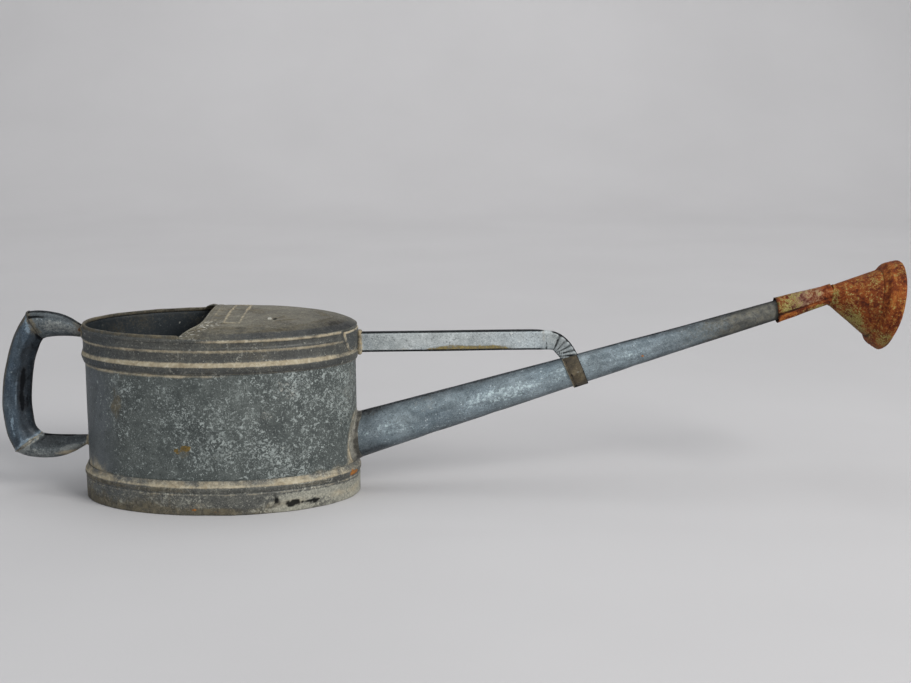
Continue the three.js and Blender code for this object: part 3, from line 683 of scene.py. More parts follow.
def build_bottom():
    # a shallow dished plate with its edge turned down, oval, 120 directions
    rows = [(0.0, 9.6), (0.15, 9.5), (0.3, 9.3), (0.45, 9.0), (0.6, 8.9), (0.75, 8.9), (0.88, 9.1), (0.95, 9.2), (0.975, 9.0), (0.985, 8.4), (0.99, 7.2), (0.99, 5.0), (0.99, 3.2)]
    top = [(s, z) for s, z in rows]
    under = [(s - (0.0085 if s > 0.97 else 0.0), z - (1.0 if s < 0.975 else 0.2)) for s, z in rows[::-1]]
    loop = top + under
    t = np.linspace(0, TAU, 120, endpoint=False)
    x0, y0 = oval(t, -1.2)
    points = []
    for s, z in loop[1:-1]:
        q = np.stack([x0 * s, y0 * s, np.full(len(t), z)], -1)
        q[:, 2] += 0.5 * fbm(q, 40, 71, 2) * (s < 0.96)
        points.append(q)
    rings = np.array(points)
    grid = rings.reshape(-1, 3)
    flat = np.vstack([grid, [[0, 0, rows[0][1]]], [[0, 0, rows[0][1] - 1]]])
    nu, nv = rings.shape[:2]
    faces = quads(nu, nv, False, True)
    faces += [[(j + 1) % nv, j, nu * nv] for j in range(nv)]
    base = (nu - 1) * nv
    faces += [[base + j, base + (j + 1) % nv, nu * nv + 1] for j in range(nv)]

    def paint(co, normal):
        n1, n2 = fbm(co, 26, 81, 3), fbm(co, 8, 82, 3)
        up = normal[:, 2] > 0
        edge = step(0.82, 0.97, np.sqrt((co[:, 0] / LONG) ** 2 + (co[:, 1] / WIDE) ** 2))
        return {"inside": np.where(up, 0.8, 0.15), "dust": np.where(up, 0.45 + 0.5 * n1, 0.25 + 0.5 * n1 + 0.5 * edge),
                "rust": np.where(up, 0.25 + 0.5 * n2, 0.18 + 0.45 * n1 + 0.25 * edge), "fleck": 0.4 + 0.4 * n1, "blue": 0.3 + 0 * n1,
                "umber": 0.4 + 0.5 * n2, "dark": 0.2 + 0.5 * n1}

    piece("bottom_skin", flat, faces, BAND, "can", ["bottom_plate"], paint)


def build_foot():
    profile = rounded([(1.2, 0.0, 0.5), (2.6, 0.0, 0.8), (3.2, 0.9, 0.8), (3.2, 20.2, 1.6), (2.55, 21.7, 1.0), (3.55, 23.2, 1.6), (4.3, 25.6, 1.8),
                       (3.95, 27.9, 1.8), (1.5, 32.3, 1.2), (1.25, 33.8, 0.4), (0.25, 33.8, 0.3), (0.3, 32.2, 0.8), (2.8, 27.6, 1.0),
                       (3.1, 25.6, 1.0), (2.1, 21.8, 1.0), (2.1, 6.0, 0.8), (0.9, 5.4, 0.4), (0.9, 0.5, 0.4)], 2.6, 3)
    points, t = band(profile, 440)
    # the foot's lower edge has been knocked about
    low = step(18, 1, points[..., 2]) * (points[..., 2] < 20)
    where = np.stack([*oval(t, 3.0), 0 * t], -1)
    knock = 0.5 * fbm(where, 24, 91, 2) + 0.25 * noise(where, 8, 92) - 0.9 * np.exp(-((where - np.array([-6, -91, 0])) ** 2).sum(-1) / 90)
    nx, ny = np.cos(t) / LONG, np.sin(t) / WIDE
    n = np.hypot(nx, ny)
    points[..., 0] += (low * (knock * nx / n)[:, None])
    points[..., 1] += (low * (knock * ny / n)[:, None])
    points[..., 2] += 0.35 * low * (noise(where, 14, 93) * 0.5 + 0.5)[:, None]
    ripple = 0.12 * fbm(points, 10, 95, 2)
    points[..., 0] += ripple * (nx / n)[:, None]
    points[..., 1] += ripple * (ny / n)[:, None]

    def paint(co, normal):
        x, y, z = co.T
        n1, n2, n3 = fbm(co, 26, 101, 3), fbm(co, 8, 102, 3), fbm(co, 3.2, 103, 2)
        hidden = outward(co, normal) < -0.3
        dust = by_height(z, [(26.8, 0.0), (27.6, 0.6), (28.4, 0.86), (29.6, 0.6), (31.4, 0.46), (32.6, 0.52), (34, 0.35)]) * (0.9 + 0.6 * n2) * (1 - 0.4 * step(112, 130, x))
        dust += by_height(z, [(17.5, 0), (19.4, 0.25), (20.5, 0.52), (21.0, 0.3), (21.4, 0)]) * (0.8 + 0.6 * n2)
        dust += by_height(z, [(0, 0.2), (4, 0.24), (8, 0.46), (12, 0.42), (16, 0.06)]) * (0.75 + 0.9 * n1) * (0.35 + 0.65 * step(-60, 10, x) + 0.35 * step(60, 115, x))
        n4 = fbm(co, 1.8, 104, 2)
        stain = 1.2 * spot(co, (60.7, -81.8, 12.2), (4.8, 9, 7.6), 13, 0.7, 1.0) + 0.7 * spot(co, (56, -82.8, 6.2), (6.5, 8, 3.6), 16, 0.8, 1.0)
        stain += 1.75 * spot(co, (75.0, -76.6, 8.2), (9.2, 11, 4.0), 14, 0.6, 0.9) + 1.5 * spot(co, (87.0, -70.4, 7.6), (6.0, 9, 2.2), 15, 0.6, 0.9)
        stain += 1.6 * spot(co, (95.0, -66.0, 8.0), (7.0, 10, 2.6), 22, 0.65, 0.9)
        dark = stain * (0.85 + 0.7 * n4 + 0.4 * n3)
        dark += 0.4 * spot(co, (119.4, -45.4, 10.2), (7, 9, 5.2), 23, 0.8, 1.0) * step(0.0, 0.5, n3 + 0.1)
        # painted shade: dark in the groove above the band, and a dark line along the bottom edge where the foot stands
        # on the floor
        dark += by_height(z, [(20.9, 0), (21.6, 0.52), (22.6, 0.36), (23.4, 0.0)]) * (0.8 + 0.5 * n1)
        dark += 0.36 * np.exp(-((z - 26.9) / 0.5) ** 2) * (0.7 + 0.6 * n2) + 0.3 * step(2.0, 0.3, z) * (0.6 + 0.8 * n2)
        dark += 0.3 * step(0.2, 0.7, n2) * step(20, 10, z) * step(-40, -90, x)
        rust = 1.3 * spot(co, (130.0, -25.5, 24.8), (7, 10, 3.8), 17, 0.7, 0.8) * (0.85 + 0.9 * n3) + 0.42 * spot(co, (4, -91, 4.2), (18, 8, 3.0), 18, 0.6, 0.8)
        rust += 0.8 * spot(co, (-17.5, -90.5, 5.6), (4.0, 6, 2.0), 19, 0.6, 0.8) + 0.22 * step(0.3, 0.7, n2) * step(7, 0, z)
        pale = spot(co, (119.4, -45.4, 10.2), (8, 10, 6.2), 20, 0.65, 0.9) * 0.5 * (0.8 + 0.9 * n3) + 0.35 * spot(co, (104, -60, 13), (9, 9, 4), 21, 0.6)
        # the last term lightens the band's right part, a painted highlight on the side the key light falls on
        pale += 0.5 * step(0.05, 0.5, n3) * step(20, 18.5, z) * (0.6 + 0.6 * step(20, 110, x)) + 0.8 * step(0, 90, x) * step(20, 18.5, z) * (0.9 + 0.8 * n1)
        umber = 0.14 + 0.4 * n1 + by_height(z, [(0, 0.5), (5, 0.55), (9, 0.2), (16, 0.0)]) + 0.5 * spot(co, (4, -91, 4.2), (26, 9, 4.0), 18, 0.6, 0.8)
        umber += 0.3 * step(22, 24, z) * step(27.5, 26, z) + 0.36 * step(0, -90, x) * (0.8 + 0.7 * n2) + 0.5 * spot(co, (62, -81, 9), (13, 11, 10), 24, 0.7, 1.0)
        return {"dust": np.where(hidden, 0.2 + 0.4 * n1, dust), "dark": np.where(hidden, 0.3 + 0.4 * n2, dark), "rust": np.where(hidden, 0.3 + 0.4 * n2, rust),
                "pale": np.where(hidden, 0, pale), "umber": umber, "fleck": 0.72 + 0.4 * n1,
                "blue": 0.55 * step(-60, -110, x), "inside": np.where(hidden, 0.3, 0)}

    piece("foot_band", points, quads(*points.shape[:2], True, True), FOOT, "can", ["foot_ring"], paint)


EDGE_X = -9.5


def cover_edge(y):
    return EDGE_X - 20 * np.minimum(1, np.abs(y) / 86) ** 6


def build_collar():
    outline = rounded([(0.3, 137, 0.3), (1.3, 137, 0.3), (1.9, 138.6, 1.0), (3.05, 142, 1.2), (3.3, 143.6, 1.2), (2.9, 145.4, 1.2), (1.5, 150, 1.4), (1.3, 151.4, 1.2),
                       (1.3, 158.8, 0.8), (2.15, 160.2, 1.0), (2.15, 162, 1.0), (1.3, 163.4, 0.8), (1.3, 167.0, 0.8), (2.25, 168.4, 1.0), (2.25, 170, 1.0), (1.3, 171.3, 0.6),
                       (1.3, 173.2, 0.8), (0.7, 174.4, 0.8), (-0.6, 174.5, 0.8), (-1.5, 173.6, 0.7), (-1.5, 172.2, 0.6), (-1.1, 171.2, 0.4), (0.3, 171.1, 0.3),
                       (0.3, 150.6, 1.0), (2.1, 144.2, 1.0), (1.9, 142.4, 1.0), (0.7, 138.4, 0.8)], 2.4, 3)
    count = 440
    t = np.linspace(0, TAU, count, endpoint=False)
    p = np.repeat(outline[None, :, 0], count, 0)
    z = np.repeat(outline[None, :, 1], count, 0)
    x, y = oval(t[:, None], p)
    past = x - cover_edge(y)
    covered = np.where(y > 0, step(3.0, 21.0, past), step(-2.0, 2.0, past))
    z = np.where(z > 171.15, 171.15 + (z - 171.15) * (1 - 0.93 * covered), z)
    # the beads die away under the plate that carries the stay
    w = np.interp(z, [140, 146.6, 149.2, 154, 160, 165.4, 168.6, 171], [0, 27, 29, 31.5, 34, 36, 36.6, 36.6])
    flat = step(5.0, 0.0, np.abs(y) - w) * (x > 0) * (z > 145.5)
    p = np.where(p > 1.3, 1.3 + (p - 1.3) * (1 - 0.95 * flat), p)
    points, t = band(np.stack([p, z], -1), count)
    nx, ny = np.cos(t) / LONG, np.sin(t) / WIDE
    n = np.hypot(nx, ny)
    ripple = 0.13 * fbm(points, 12, 111, 2)
    points[..., 0] += ripple * (nx / n)[:, None]
    points[..., 1] += ripple * (ny / n)[:, None]
    rim = step(170.9, 172.5, points[..., 2])
    where = np.stack([*oval(t, 0.0), 172 + 0 * t], -1)
    points[..., 2] += rim * (0.45 * fbm(where, 18, 113, 2))[:, None]

    def paint(co, normal):
        x, y, z = co.T
        n1, n2, n3 = fbm(co, 26, 121, 3), fbm(co, 7, 122, 3), fbm(co, 3.2, 123, 2)
        hidden = (outward(co, normal) < -0.3) & (z < 171)
        # a dusty ledge at 144 to 150; the thin pale lines on the bead near 141.7 and on the ridges near 159.4 and 168.8
        # are painted highlights
        dust = by_height(z, [(143.6, 0), (144.4, 0.7), (145.4, 1.0), (147.5, 0.95), (148.6, 0.8), (149.6, 0.3), (150.4, 0),
                             (157.2, 0), (158.4, 0.5), (159.4, 0.82), (160.4, 0.6), (161.2, 0), (166.6, 0.0), (167.6, 0.42), (168.8, 0.58), (170.2, 0.4), (171, 0.08),
                             (141, 0.1), (141.7, 0.22), (142.4, 0.1), (136.6, 0.5), (137.6, 0.45), (138.3, 0.0)])
        dust *= (0.95 + 0.35 * n2) * np.where((z > 143) & (z < 152), (0.78 + 0.22 * step(-120, -60, x)) * (1 - 0.5 * step(104, 126, x)), 1.0)
        dust *= np.where(z > 166.4, 0.45 + 0.9 * step(-25, 15, x), 1.0)
        plate = step(4.5, 1.5, np.abs(y) - np.interp(z, [150, 160, 171], [30, 34, 37])) * (x > 0) * step(151, 153, z)
        dust *= 1 - 0.8 * plate
        dust += 0.4 * step(0.15, 0.7, n1) * step(-40, -90, x) * step(152, 158, z)
        # painted shade: dark under the bead near 138 to 140 and on its lower face near 143, in the grooves near 161.6
        # and 165.6, and under the rim above 171
        dark = by_height(z, [(137.6, 0.0), (138.4, 0.55), (139.6, 0.48), (140.8, 0.12), (142.2, 0.0), (142.9, 0.36), (143.6, 0.28), (144, 0),
                             (160.9, 0), (161.6, 0.4), (162.3, 0), (164.8, 0), (165.6, 0.26), (166.4, 0), (170.6, 0.1), (171.6, 0.3), (172.6, 0.3), (173.4, 0.2)])
        dark *= (0.85 + 0.5 * n1) * np.where(z > 170.4, step(-28, -6, x), 1.0)
        dark += by_height(z, [(149.8, 0), (150.6, 0.22), (153, 0.12), (156.5, 0.1), (157.6, 0.28), (158.2, 0)]) * (0.7 + 0.8 * n2)
        rimband = step(170.8, 172.2, z) * step(0, -18, x)
        umber = 0.3 + 0.4 * n1 + rimband * (0.62 + 0.5 * n2)
        dark += rimband * 0.62 * step(10, 50, y) * (0.8 + 0.5 * n2)
        pale = 0.4 * rimband * step(0.1, 0.5, n3) * (y < 20) + 1.0 * spot(co, (-12, -88.5, 172.6), (9, 4, 2.6), 31, 0.7) * step(-0.2, 0.2, n3)
        pale += 0.45 * step(0.2, 0.6, n3) * step(151, 153, z) * step(158, 156, z) + by_height(z, [(162.6, 0), (163.6, 0.3), (164.4, 0)]) * (0.6 + 0.8 * n2)
        rust = 0.18 * spot(co, (-60, -80, 173.4), (12, 9, 2), 33, 0.6) + 0.4 * spot(co, (-134, 0, 166), (4, 12, 7), 34, 0.6)
        # the blue band near 141 on the front of the bead is a painted reflection
        return {"dust": np.where(hidden, 0, dust), "dark": np.where(hidden, 0.1, dark), "umber": umber, "pale": pale,
                "rust": rust, "fleck": 0.5 + 0.4 * n1, "blue": 0.6 * step(-70, -115, x) + 0.4 * by_height(z, [(139, 0), (141, 1), (143, 0)]), "inside": np.where(hidden, 0.8, 0)}

    piece("collar_band", points, quads(*points.shape[:2], True, True), BAND, "can", ["top_collar"], paint)


def dome(x, y, lift=0.0):
    q = np.sqrt((x / (LONG + 1.3)) ** 2 + (y / (WIDE + 1.3)) ** 2)
    q = np.minimum(q, 1.0)
    return 171.5 + 6.2 * (1 - q ** 2.4) + 5.4 * (1 - q ** 14) + lift


def build_cover():
    rows, cols = 170, 110
    # the free edge from one corner to the other, and the rim facing it
    yy = np.linspace(-1, 1, 800)
    lo, hi = 0.0, WIDE + 1.3
    for _ in range(50):
        mid = (lo + hi) / 2
        if (cover_edge(mid) / (LONG + 1.3)) ** 2 + (mid / (WIDE + 1.3)) ** 2 < 1:
            lo = mid
        else:
            hi = mid
    corner = lo
    edge = along(np.stack([cover_edge(yy * corner), yy * corner], -1), rows, True)
    a0 = math.atan2(-corner / (WIDE + 1.3), cover_edge(corner) / (LONG + 1.3))
    a = np.linspace(a0, -a0, 2000)
    rim = along(np.stack([(LONG + 1.3) * np.cos(a), (WIDE + 1.3) * np.sin(a)], -1), rows, True)
    s = np.linspace(0, 1, cols)
    s = 1 - (1 - s) ** 1.9
    xy = edge[:, None] + (rim - edge)[:, None] * s[None, :, None]
    x, y = xy[..., 0], xy[..., 1]
    z = dome(x, y)
    flat3 = np.stack([x, y, z], -1)
    inner_part = step(1.0, 0.9, np.sqrt((x / (LONG + 1.3)) ** 2 + (y / (WIDE + 1.3)) ** 2))
    shape = 0.55 * fbm(flat3, 52, 131, 2) + 0.18 * fbm(flat3, 16, 133, 2)
    # blank raised frame, with a sunk field inside it
    def frame_line(x, y):
        dx, dy = np.abs(x - 18.0) - 7.6, np.abs(y) - 54.0
        d = np.maximum(dx, dy)
        return np.exp(-(d / 1.25) ** 2) - 0.5 * step(-1.2, -2.4, d)
    shape = shape + 0.95 * frame_line(x, y) * (0.85 + 0.25 * fbm(flat3, 8, 135, 2))
    # shallow press line beside the free edge, a pit and a lump
    beside = x - cover_edge(y)
    shape = shape + 0.45 * np.exp(-((beside - 7.5) / 1.6) ** 2) - 0.3 * np.exp(-((beside - 11.5) / 2.0) ** 2)
    shape = shape - 1.1 * np.exp(-((x - 57) ** 2 + (y + 32) ** 2) / 2.6) + 0.7 * np.exp(-((x - 52) ** 2 + (y + 31) ** 2) / 3.0)
    shape = shape - 0.9 * np.exp(-((x - 84) ** 2 + (y + 20) ** 2) / 420) - 0.6 * np.exp(-((x - 28) ** 2 + (y + 66) ** 2) / 160)
    z = z + shape * inner_part
    top = np.stack([x, y, z], -1)
    under = top.copy()
    under[..., 2] -= 0.95
    shrink = 1 - 0.55 / np.maximum(np.hypot(x, y), 40)
    under[..., 0] *= shrink
    under[..., 1] *= shrink
    n = rows * cols
    faces = quads(rows, cols, False, False)
    faces += [f[::-1] for f in quads(rows, cols, False, False, n)]
    for i in range(rows - 1):
        faces.append([i * cols, n + i * cols, n + (i + 1) * cols, (i + 1) * cols])
        faces.append([i * cols + cols - 1, (i + 1) * cols + cols - 1, n + (i + 1) * cols + cols - 1, n + i * cols + cols - 1])

    def paint(co, normal):
        x, y, z = co.T
        n1, n2, n3 = fbm(co, 30, 141, 3), fbm(co, 8, 142, 3), fbm(co, 3, 143, 2)
        q = np.sqrt((x / (LONG + 1.3)) ** 2 + (y / (WIDE + 1.3)) ** 2)
        ang = np.arctan2(y / WIDE, x / LONG)
        ripple = fbm(np.stack([ang * 14, q * 110, 0 * q], -1), 7, 145, 3)
        under = normal[:, 2] < -0.2
        beside = x - cover_edge(y)
        front = step(0.70, 0.93, q) * step(20, -40, y)
        d = np.maximum(np.abs(x - 18.0) - 7.6, np.abs(y) - 54.0)
        # painted shadow on both sides of the raised frame line; the line itself is painted dusty tan, partly a painted
        # highlight
        frame_top = np.exp(-(d / 1.6) ** 2)
        frame_shadow = np.exp(-((d - 2.6) / 1.1) ** 2) + 0.9 * np.exp(-((d + 2.5) / 1.1) ** 2)
        # painted shade on the turned-down edge: a dark band near the edge all round, and at the front a shaded, bluish
        # band
        low = step(0.925, 0.955, q) * step(-15, 40, x) * step(20, -20, y)
        dark = 0.14 * step(0.935, 0.975, q) * (0.8 + 0.6 * n2) + 0.24 * step(0.0, 0.6, ripple) * (0.5 + 0.6 * front)
        dark += 1.3 * spot(co, (57.5, -32, dome(57, -32)), (2.1, 6, 6), 41, 0.15) + 0.4 * spot(co, (30, -67, dome(30, -67)), (10, 5, 6), 42, 0.6)
        dark += 0.5 * frame_shadow * (0.7 + 0.9 * n2) + 0.12 * spot(co, (88, -24, dome(84, -20)), (34, 24, 26), 46, 0.6, 0.9)
        umber = (0.3 + 0.4 * n1 + 0.3 * front + 0.35 * step(0.0, 0.5, ripple)) * (1 - 0.8 * low)
        pale = 0.95 * step(0.16, 0.4, fbm(co, 1.7, 149, 2)) * step(34, 8, beside) * step(-20, -60, y) + 0.4 * step(0.1, 0.5, -ripple) * step(0.1, 0.5, n2 + 0.2)
        # the small bright spot on the lump at (52, -31) is a painted highlight; the other spots are pale patches
        pale += 1.8 * spot(co, (52.3, -31, dome(52, -31)), (2.3, 6, 6), 43, 0.2) + 0.55 * spot(co, (-8, -66, dome(-8, -66)), (9, 16, 9), 44, 0.7) * (n3 > 0.05)
        pale += 0.4 * spot(co, (64, -72, dome(64, -72)), (12, 4, 5), 48, 0.8) * (n3 > 0)
        dust = 0.42 * np.exp(-((beside - 6.8) / 2.2) ** 2) * (1.0 + 0.6 * n1) + 0.3 * step(0.1, 0.6, n1) * step(0.7, 0.4, q)
        dust += 0.72 * frame_top * (1.0 + 0.5 * n1) + 0.3 * step(0.2, 0.6, -ripple) * step(0.55, 0.75, q)
        # the underside is painted dark, painted shade, except at the back corner near the free edge, which is painted
        # light tan and brown, a painted light
        far_corner_lit = step(30, 52, y) * step(60, 20, beside)
        return {"dark": np.where(under, (0.5 + 0.4 * n1) * (1 - far_corner_lit), dark), "umber": umber + 0.5 * far_corner_lit * under, "pale": np.where(under, 0, pale),
                "dust": np.where(under, far_corner_lit * (0.85 + 0.4 * n2), dust),
                "shade": np.where(under, 0.3 - 0.3 * far_corner_lit, 0.52 * front * (0.85 + 0.7 * n1) + 0.4 * low * (0.9 + 0.5 * n2) + 0.22 * step(50, 100, x) * step(0.2, 0.5, q) + 0.25 * step(0.0, 0.6, n1)), "rust": 0.15 * step(0.4, 0.75, n2) * front + np.where(under, 0.2, 0),
                "fleck": 0.5 + 0.4 * n1, "inside": np.where(under, 0.8 - 0.8 * far_corner_lit, 0), "blue": 0.85 * low}

    piece("cover_sheet", np.vstack([top.reshape(-1, 3), under.reshape(-1, 3)]), faces, COVER, "can", ["half_cover"], paint)
    # the free edge is folded back into a round hem
    ex = edge[2:-2]
    path = np.stack([ex[:, 0] + 0.6, ex[:, 1], dome(ex[:, 0] + 0.6, ex[:, 1]) + 0.55 * fbm(np.stack([ex[:, 0], ex[:, 1], dome(ex[:, 0], ex[:, 1])], -1), 52, 131, 2) - 0.15], -1)
    # the hem's downward-facing side is painted dark, painted shade
    bead("cover_hem", path, 1.25, COVER, "can", closed=False, seed=151, lumps=0.12, sides=12,
         paint=lambda co, normal: {"dust": 0.16 + 0.35 * fbm(co, 9, 152, 3), "umber": 0.3 + 0.4 * fbm(co, 20, 153, 2),
                                   "pale": 0.5 * step(0.1, 0.5, fbm(co, 5, 154, 2)), "dark": 0.6 * step(-0.2, -0.8, normal[:, 2]), "fleck": 0.5 + 0 * co[:, 0]})


# ------------------------------------------------------------------ handle
TOP_MITRE = (-190.5, 184.5, -175.8, 156.9, 12.6)
LOW_MITRE = (-208.8, 42.2, -181.8, 61.2, 12.6)
TOP_ARM = [(-128, 165.5, -128, 158.2, 7.6), (-138, 171, -138, 158.6, 8.4), (-148.2, 177.6, -147, 159.4, 9.6), (-158, 181.8, -156.5, 159.7, 10.8),
           (-169, 184.2, -165, 159.3, 11.8), (-180, 185.2, -171.5, 158.5, 12.4), TOP_MITRE]
GRIP = [TOP_MITRE, (-199, 171.6, -178.6, 152.8, 13), (-206.2, 156.6, -181.8, 145.6, 13.4), (-212.6, 136, -185.6, 134, 13.6), (-216.9, 117, -188.7, 117, 13.6),
        (-219.3, 95, -190.5, 95, 13.6), (-218.5, 77, -189.7, 79, 13.4), (-215.7, 59, -187.6, 68.2, 13), LOW_MITRE]
LOW_ARM = [LOW_MITRE, (-197, 37.7, -177.6, 60.2, 12.4), (-185, 35.8, -171.6, 59.6, 12), (-172, 35.7, -164.6, 59.2, 11.4), (-160, 37.8, -156.2, 59, 10.6),
           (-148.6, 42.2, -147.6, 58.9, 9.6), (-138, 48.4, -138, 58.8, 8.2), (-127, 54, -127, 58.8, 7)]
SECTION = 56


def section(stations, t):
    outer = np.stack([stations[:, 0], 0 * stations[:, 0], stations[:, 1]], -1)
    inner = np.stack([stations[:, 2], 0 * stations[:, 0], stations[:, 3]], -1)
    centre, half = (outer + inner) / 2, (outer - inner) / 2
    u = np.cos(t)
    v = np.sin(t) * (1 + 0.3 * np.cos(t)) / 1.045
    # a soft crease along each flank, where the folded sheet turns in to its seam
    crease = 1 - 0.075 * np.exp(-((np.abs(np.angle(np.exp(1j * (t - 1.9)))) / 0.2) ** 2)) - 0.075 * np.exp(-((np.abs(np.angle(np.exp(1j * (t + 1.9)))) / 0.2) ** 2))
    v = v * crease
    u = np.where(u < 0, u * (1 - 0.02 * (u < -0.985)), u)
    p = centre[:, None] + half[:, None] * u[None, :, None]
    p[..., 1] += stations[:, 4][:, None] * v[None, :]
    return p, centre


def build_handle():
    t = np.linspace(0, TAU, SECTION, endpoint=False)
    parts = (("top_arm", TOP_ARM, 46, "handle_top_arm"), ("grip", GRIP, 84, "handle_grip"), ("low_arm", LOW_ARM, 60, "handle_bottom_arm"))
    for k, (name, stations, count, node) in enumerate(parts):
        st = along(np.array(stations, float), count)
        rings, centre = section(st, t)
        out = rings - centre[:, None]
        wob = 1 + 0.018 * fbm(rings, 26, 201 + k, 2) + 0.008 * noise(rings, 9, 211 + k)
        keep = np.ones(count)
        if name != "low_arm":
            keep[-1] = 0
        if name != "top_arm":
            keep[0] = 0
        wob = 1 + (wob - 1) * keep[:, None]
        rings = centre[:, None] + out * wob[..., None]
        p = {"top_arm": 1.6, "low_arm": 0.2, "grip": None}[name]
        if p is not None:
            limit = -oval_x(rings[..., 1], p)
            rings[..., 0] = np.minimum(rings[..., 0], limit)

        def paint(co, normal, name=name, st=st):
            x, y, z = co.T
            outer = np.stack([st[:, 0], st[:, 1]], -1)
            inner = np.stack([st[:, 2], st[:, 3]], -1)
            d0 = np.linalg.norm(co[:, None, [0, 2]] - outer[None], axis=-1).min(1)
            d1 = np.linalg.norm(co[:, None, [0, 2]] - inner[None], axis=-1).min(1)
            s = d1 / np.maximum(d0 + d1, 1e-6)
            n1, n2, n3 = fbm(co, 24, 221, 3), fbm(co, 7, 222, 3), fbm(co, 2.6, 223, 2)
            long_way = fbm(co * np.array([1, 1, 0.16]), 4, 224, 3) if name == "grip" else fbm(co * np.array([0.16, 1, 1]), 4, 224, 3)
            # painted shade: dark lines along the outer and inner outlines
            outer_edge_shade = step(0.92, 0.985, s)
            inner_edge_shade = step(0.07, 0.015, s)
            pale, dust, umber, rust = 0 * x, 0 * x, 0.1 + 0.3 * n1, 0.45 * step(0.10, 0.03, s) * (0.3 + 1.1 * n2)
            if name == "top_arm":
                # top arm: painted shade along the inner side and in a band just inside the outer edge, painted
                # highlight down the middle
                shade = 0.4 * step(0.26, 0.06, s) + 0.35 * step(0.80, 0.86, s) * step(0.97, 0.90, s) + 0.2 * step(0.15, 0.55, long_way)
                dark = 0.6 * inner_edge_shade + 0.7 * outer_edge_shade + 0.6 * np.exp(-((s - 0.84) / 0.025) ** 2) * step(-150, -168, x)
                pale = (0.46 + 0.25 * n1) * step(0.12, 0.34, s) * step(0.86, 0.7, s) * step(-186, -166, x) + 0.2 * step(0.1, 0.5, -long_way)
                rust = rust + 0.7 * spot(co, (-137.5, -7, 167), (4.0, 9, 4.4), 234, 0.7, 1.0)
                dark = dark + 0.3 * spot(co, (-136.5, -7, 164), (3.0, 9, 6), 235, 0.6, 1.0)
                umber = umber + 0.3 * np.exp(-((x + 184) ** 2 + (z - 170) ** 2) / 60) + 0.4 * step(-152, -138, x)
                dark = dark + 0.6 * spot(co, (-181.0, -8, 180.6), (9.0, 9, 1.8), 233, 0.5)
            elif name == "grip":
                height = step(46, 70, z) * step(172, 150, z)
                # grip: painted shade down the inner third with a near-black core, and a painted highlight as a pale
                # streak down the middle
                shade = 0.98 * step(0.52, 0.34, s + 0.05 * n1) * (0.5 + 0.5 * height) + 0.4 * step(0.82, 0.97, s) + 0.5 * step(0.0, 0.45, long_way)
                dark = (0.92 * np.exp(-((s - 0.28) / 0.09) ** 2) + 0.6 * np.exp(-((s - 0.09) / 0.06) ** 2) + 0.22 * np.exp(-((s - 0.2) / 0.08) ** 2)) * step(72, 94, z) * step(146, 116, z) * (0.9 + 0.5 * n2) + 0.75 * outer_edge_shade * (0.9 + 0.4 * n1) + 0.55 * inner_edge_shade
                dark = dark + 0.6 * np.exp(-((s - 0.18) / 0.16) ** 2) * step(140, 150, z) * step(170, 160, z)
                pale = 0.85 * np.exp(-((s - 0.43) / 0.035) ** 2) * step(78, 96, z) * step(140, 120, z) + 0.7 * step(0.0, 0.45, -long_way) * step(0.44, 0.56, s) * step(0.86, 0.7, s) + 0.3 * step(0.44, 0.56, s) * step(0.8, 0.66, s) * (0.8 + 0.9 * n1)
                umber = umber + 0.62 * step(0.8, 0.93, s) + 0.4 * np.exp(-((x + 183) ** 2 + (z - 166) ** 2) / 60)
            else:
                shade = 0.6 * step(0.56, 0.38, s + 0.06 * n2) + 0.3 * step(0.94, 0.98, s) + 0.2 * step(0.1, 0.5, long_way)
                dark = 0.42 * step(0.45, 0.25, s) * step(-0.1, 0.4, n2 + 0.15) + 0.75 * outer_edge_shade * (0.9 + 0.4 * n1) + 0.5 * inner_edge_shade
                pale = 1.0 * spot(co, (-151, -9, 47.0), (13, 9, 6.0), 231, 0.5, 0.9) + (0.5 + 0.3 * n1) * step(0.44, 0.6, s) * step(0.97, 0.9, s)
                dust = dust + 0.55 * spot(co, (-150, -6, 41.5), (20, 16, 4.5), 232, 0.5) + 0.3 * step(0.62, 0.8, s) * step(0.0, 0.6, n1 + 0.2)
            pale = pale + 0.28 * step(0.35, 0.7, n3)
            # smeared solder on both sides of the lower mitre, a thin bright line at the upper one
            run_low = np.abs((x + 208.8) * -0.575 + (z - 42.2) * 0.818)
            if name != "top_arm":
                near_low = np.hypot(x + 196, z - 51) < 19
                pale = pale + 0.8 * near_low * step(6.0, 1.5, run_low + 2.4 * n2) * (0.85 + 0.6 * n3)
                dust = dust + 0.5 * near_low * step(6.0, 2.0, run_low + 2.0 * n2) * step(-0.1, 0.5, n3 + 0.1)
                shade = shade * np.where(near_low, step(1.5, 5.5, run_low), 1)
                dark = dark * np.where(near_low, step(1.0, 5.0, run_low), 1) + 0.45 * near_low * np.exp(-((run_low - 5.4) / 0.6) ** 2) * (0.5 + n2)
            run_top = np.abs((x + 190.5) * 0.883 + (z - 184.5) * 0.470)
            if name != "low_arm":
                near_top = np.hypot(x + 184, z - 171) < 16
                dark = dark + 0.5 * near_top * np.exp(-((run_top - 1.9) / 0.7) ** 2) * (0.75 + 0.7 * n2)
                dark = dark + 0.6 * near_top * step(1.2, 0.3, run_top)
                smear = near_top * step(5.0, 1.2, run_top + 2.2 * n2) * (y < 0) * step(160, 166, z)
                dust = dust + 0.6 * smear * step(-0.05, 0.35, n3)
                umber = umber + 0.6 * smear
                scratch = np.abs((x + 191.0) - (183.0 - z) * 0.24) + 3 * (step(165, 163, z) + step(181, 183, z))
                pale = pale + 1.1 * (name == "grip") * step(1.5, 0.6, scratch) * (y < 0)
                dark = dark * (1 - (name == "grip") * step(1.6, 0.8, scratch) * (y < 0))
            root = np.exp(-np.clip(-x - 135, 0, 99) / 3.2)
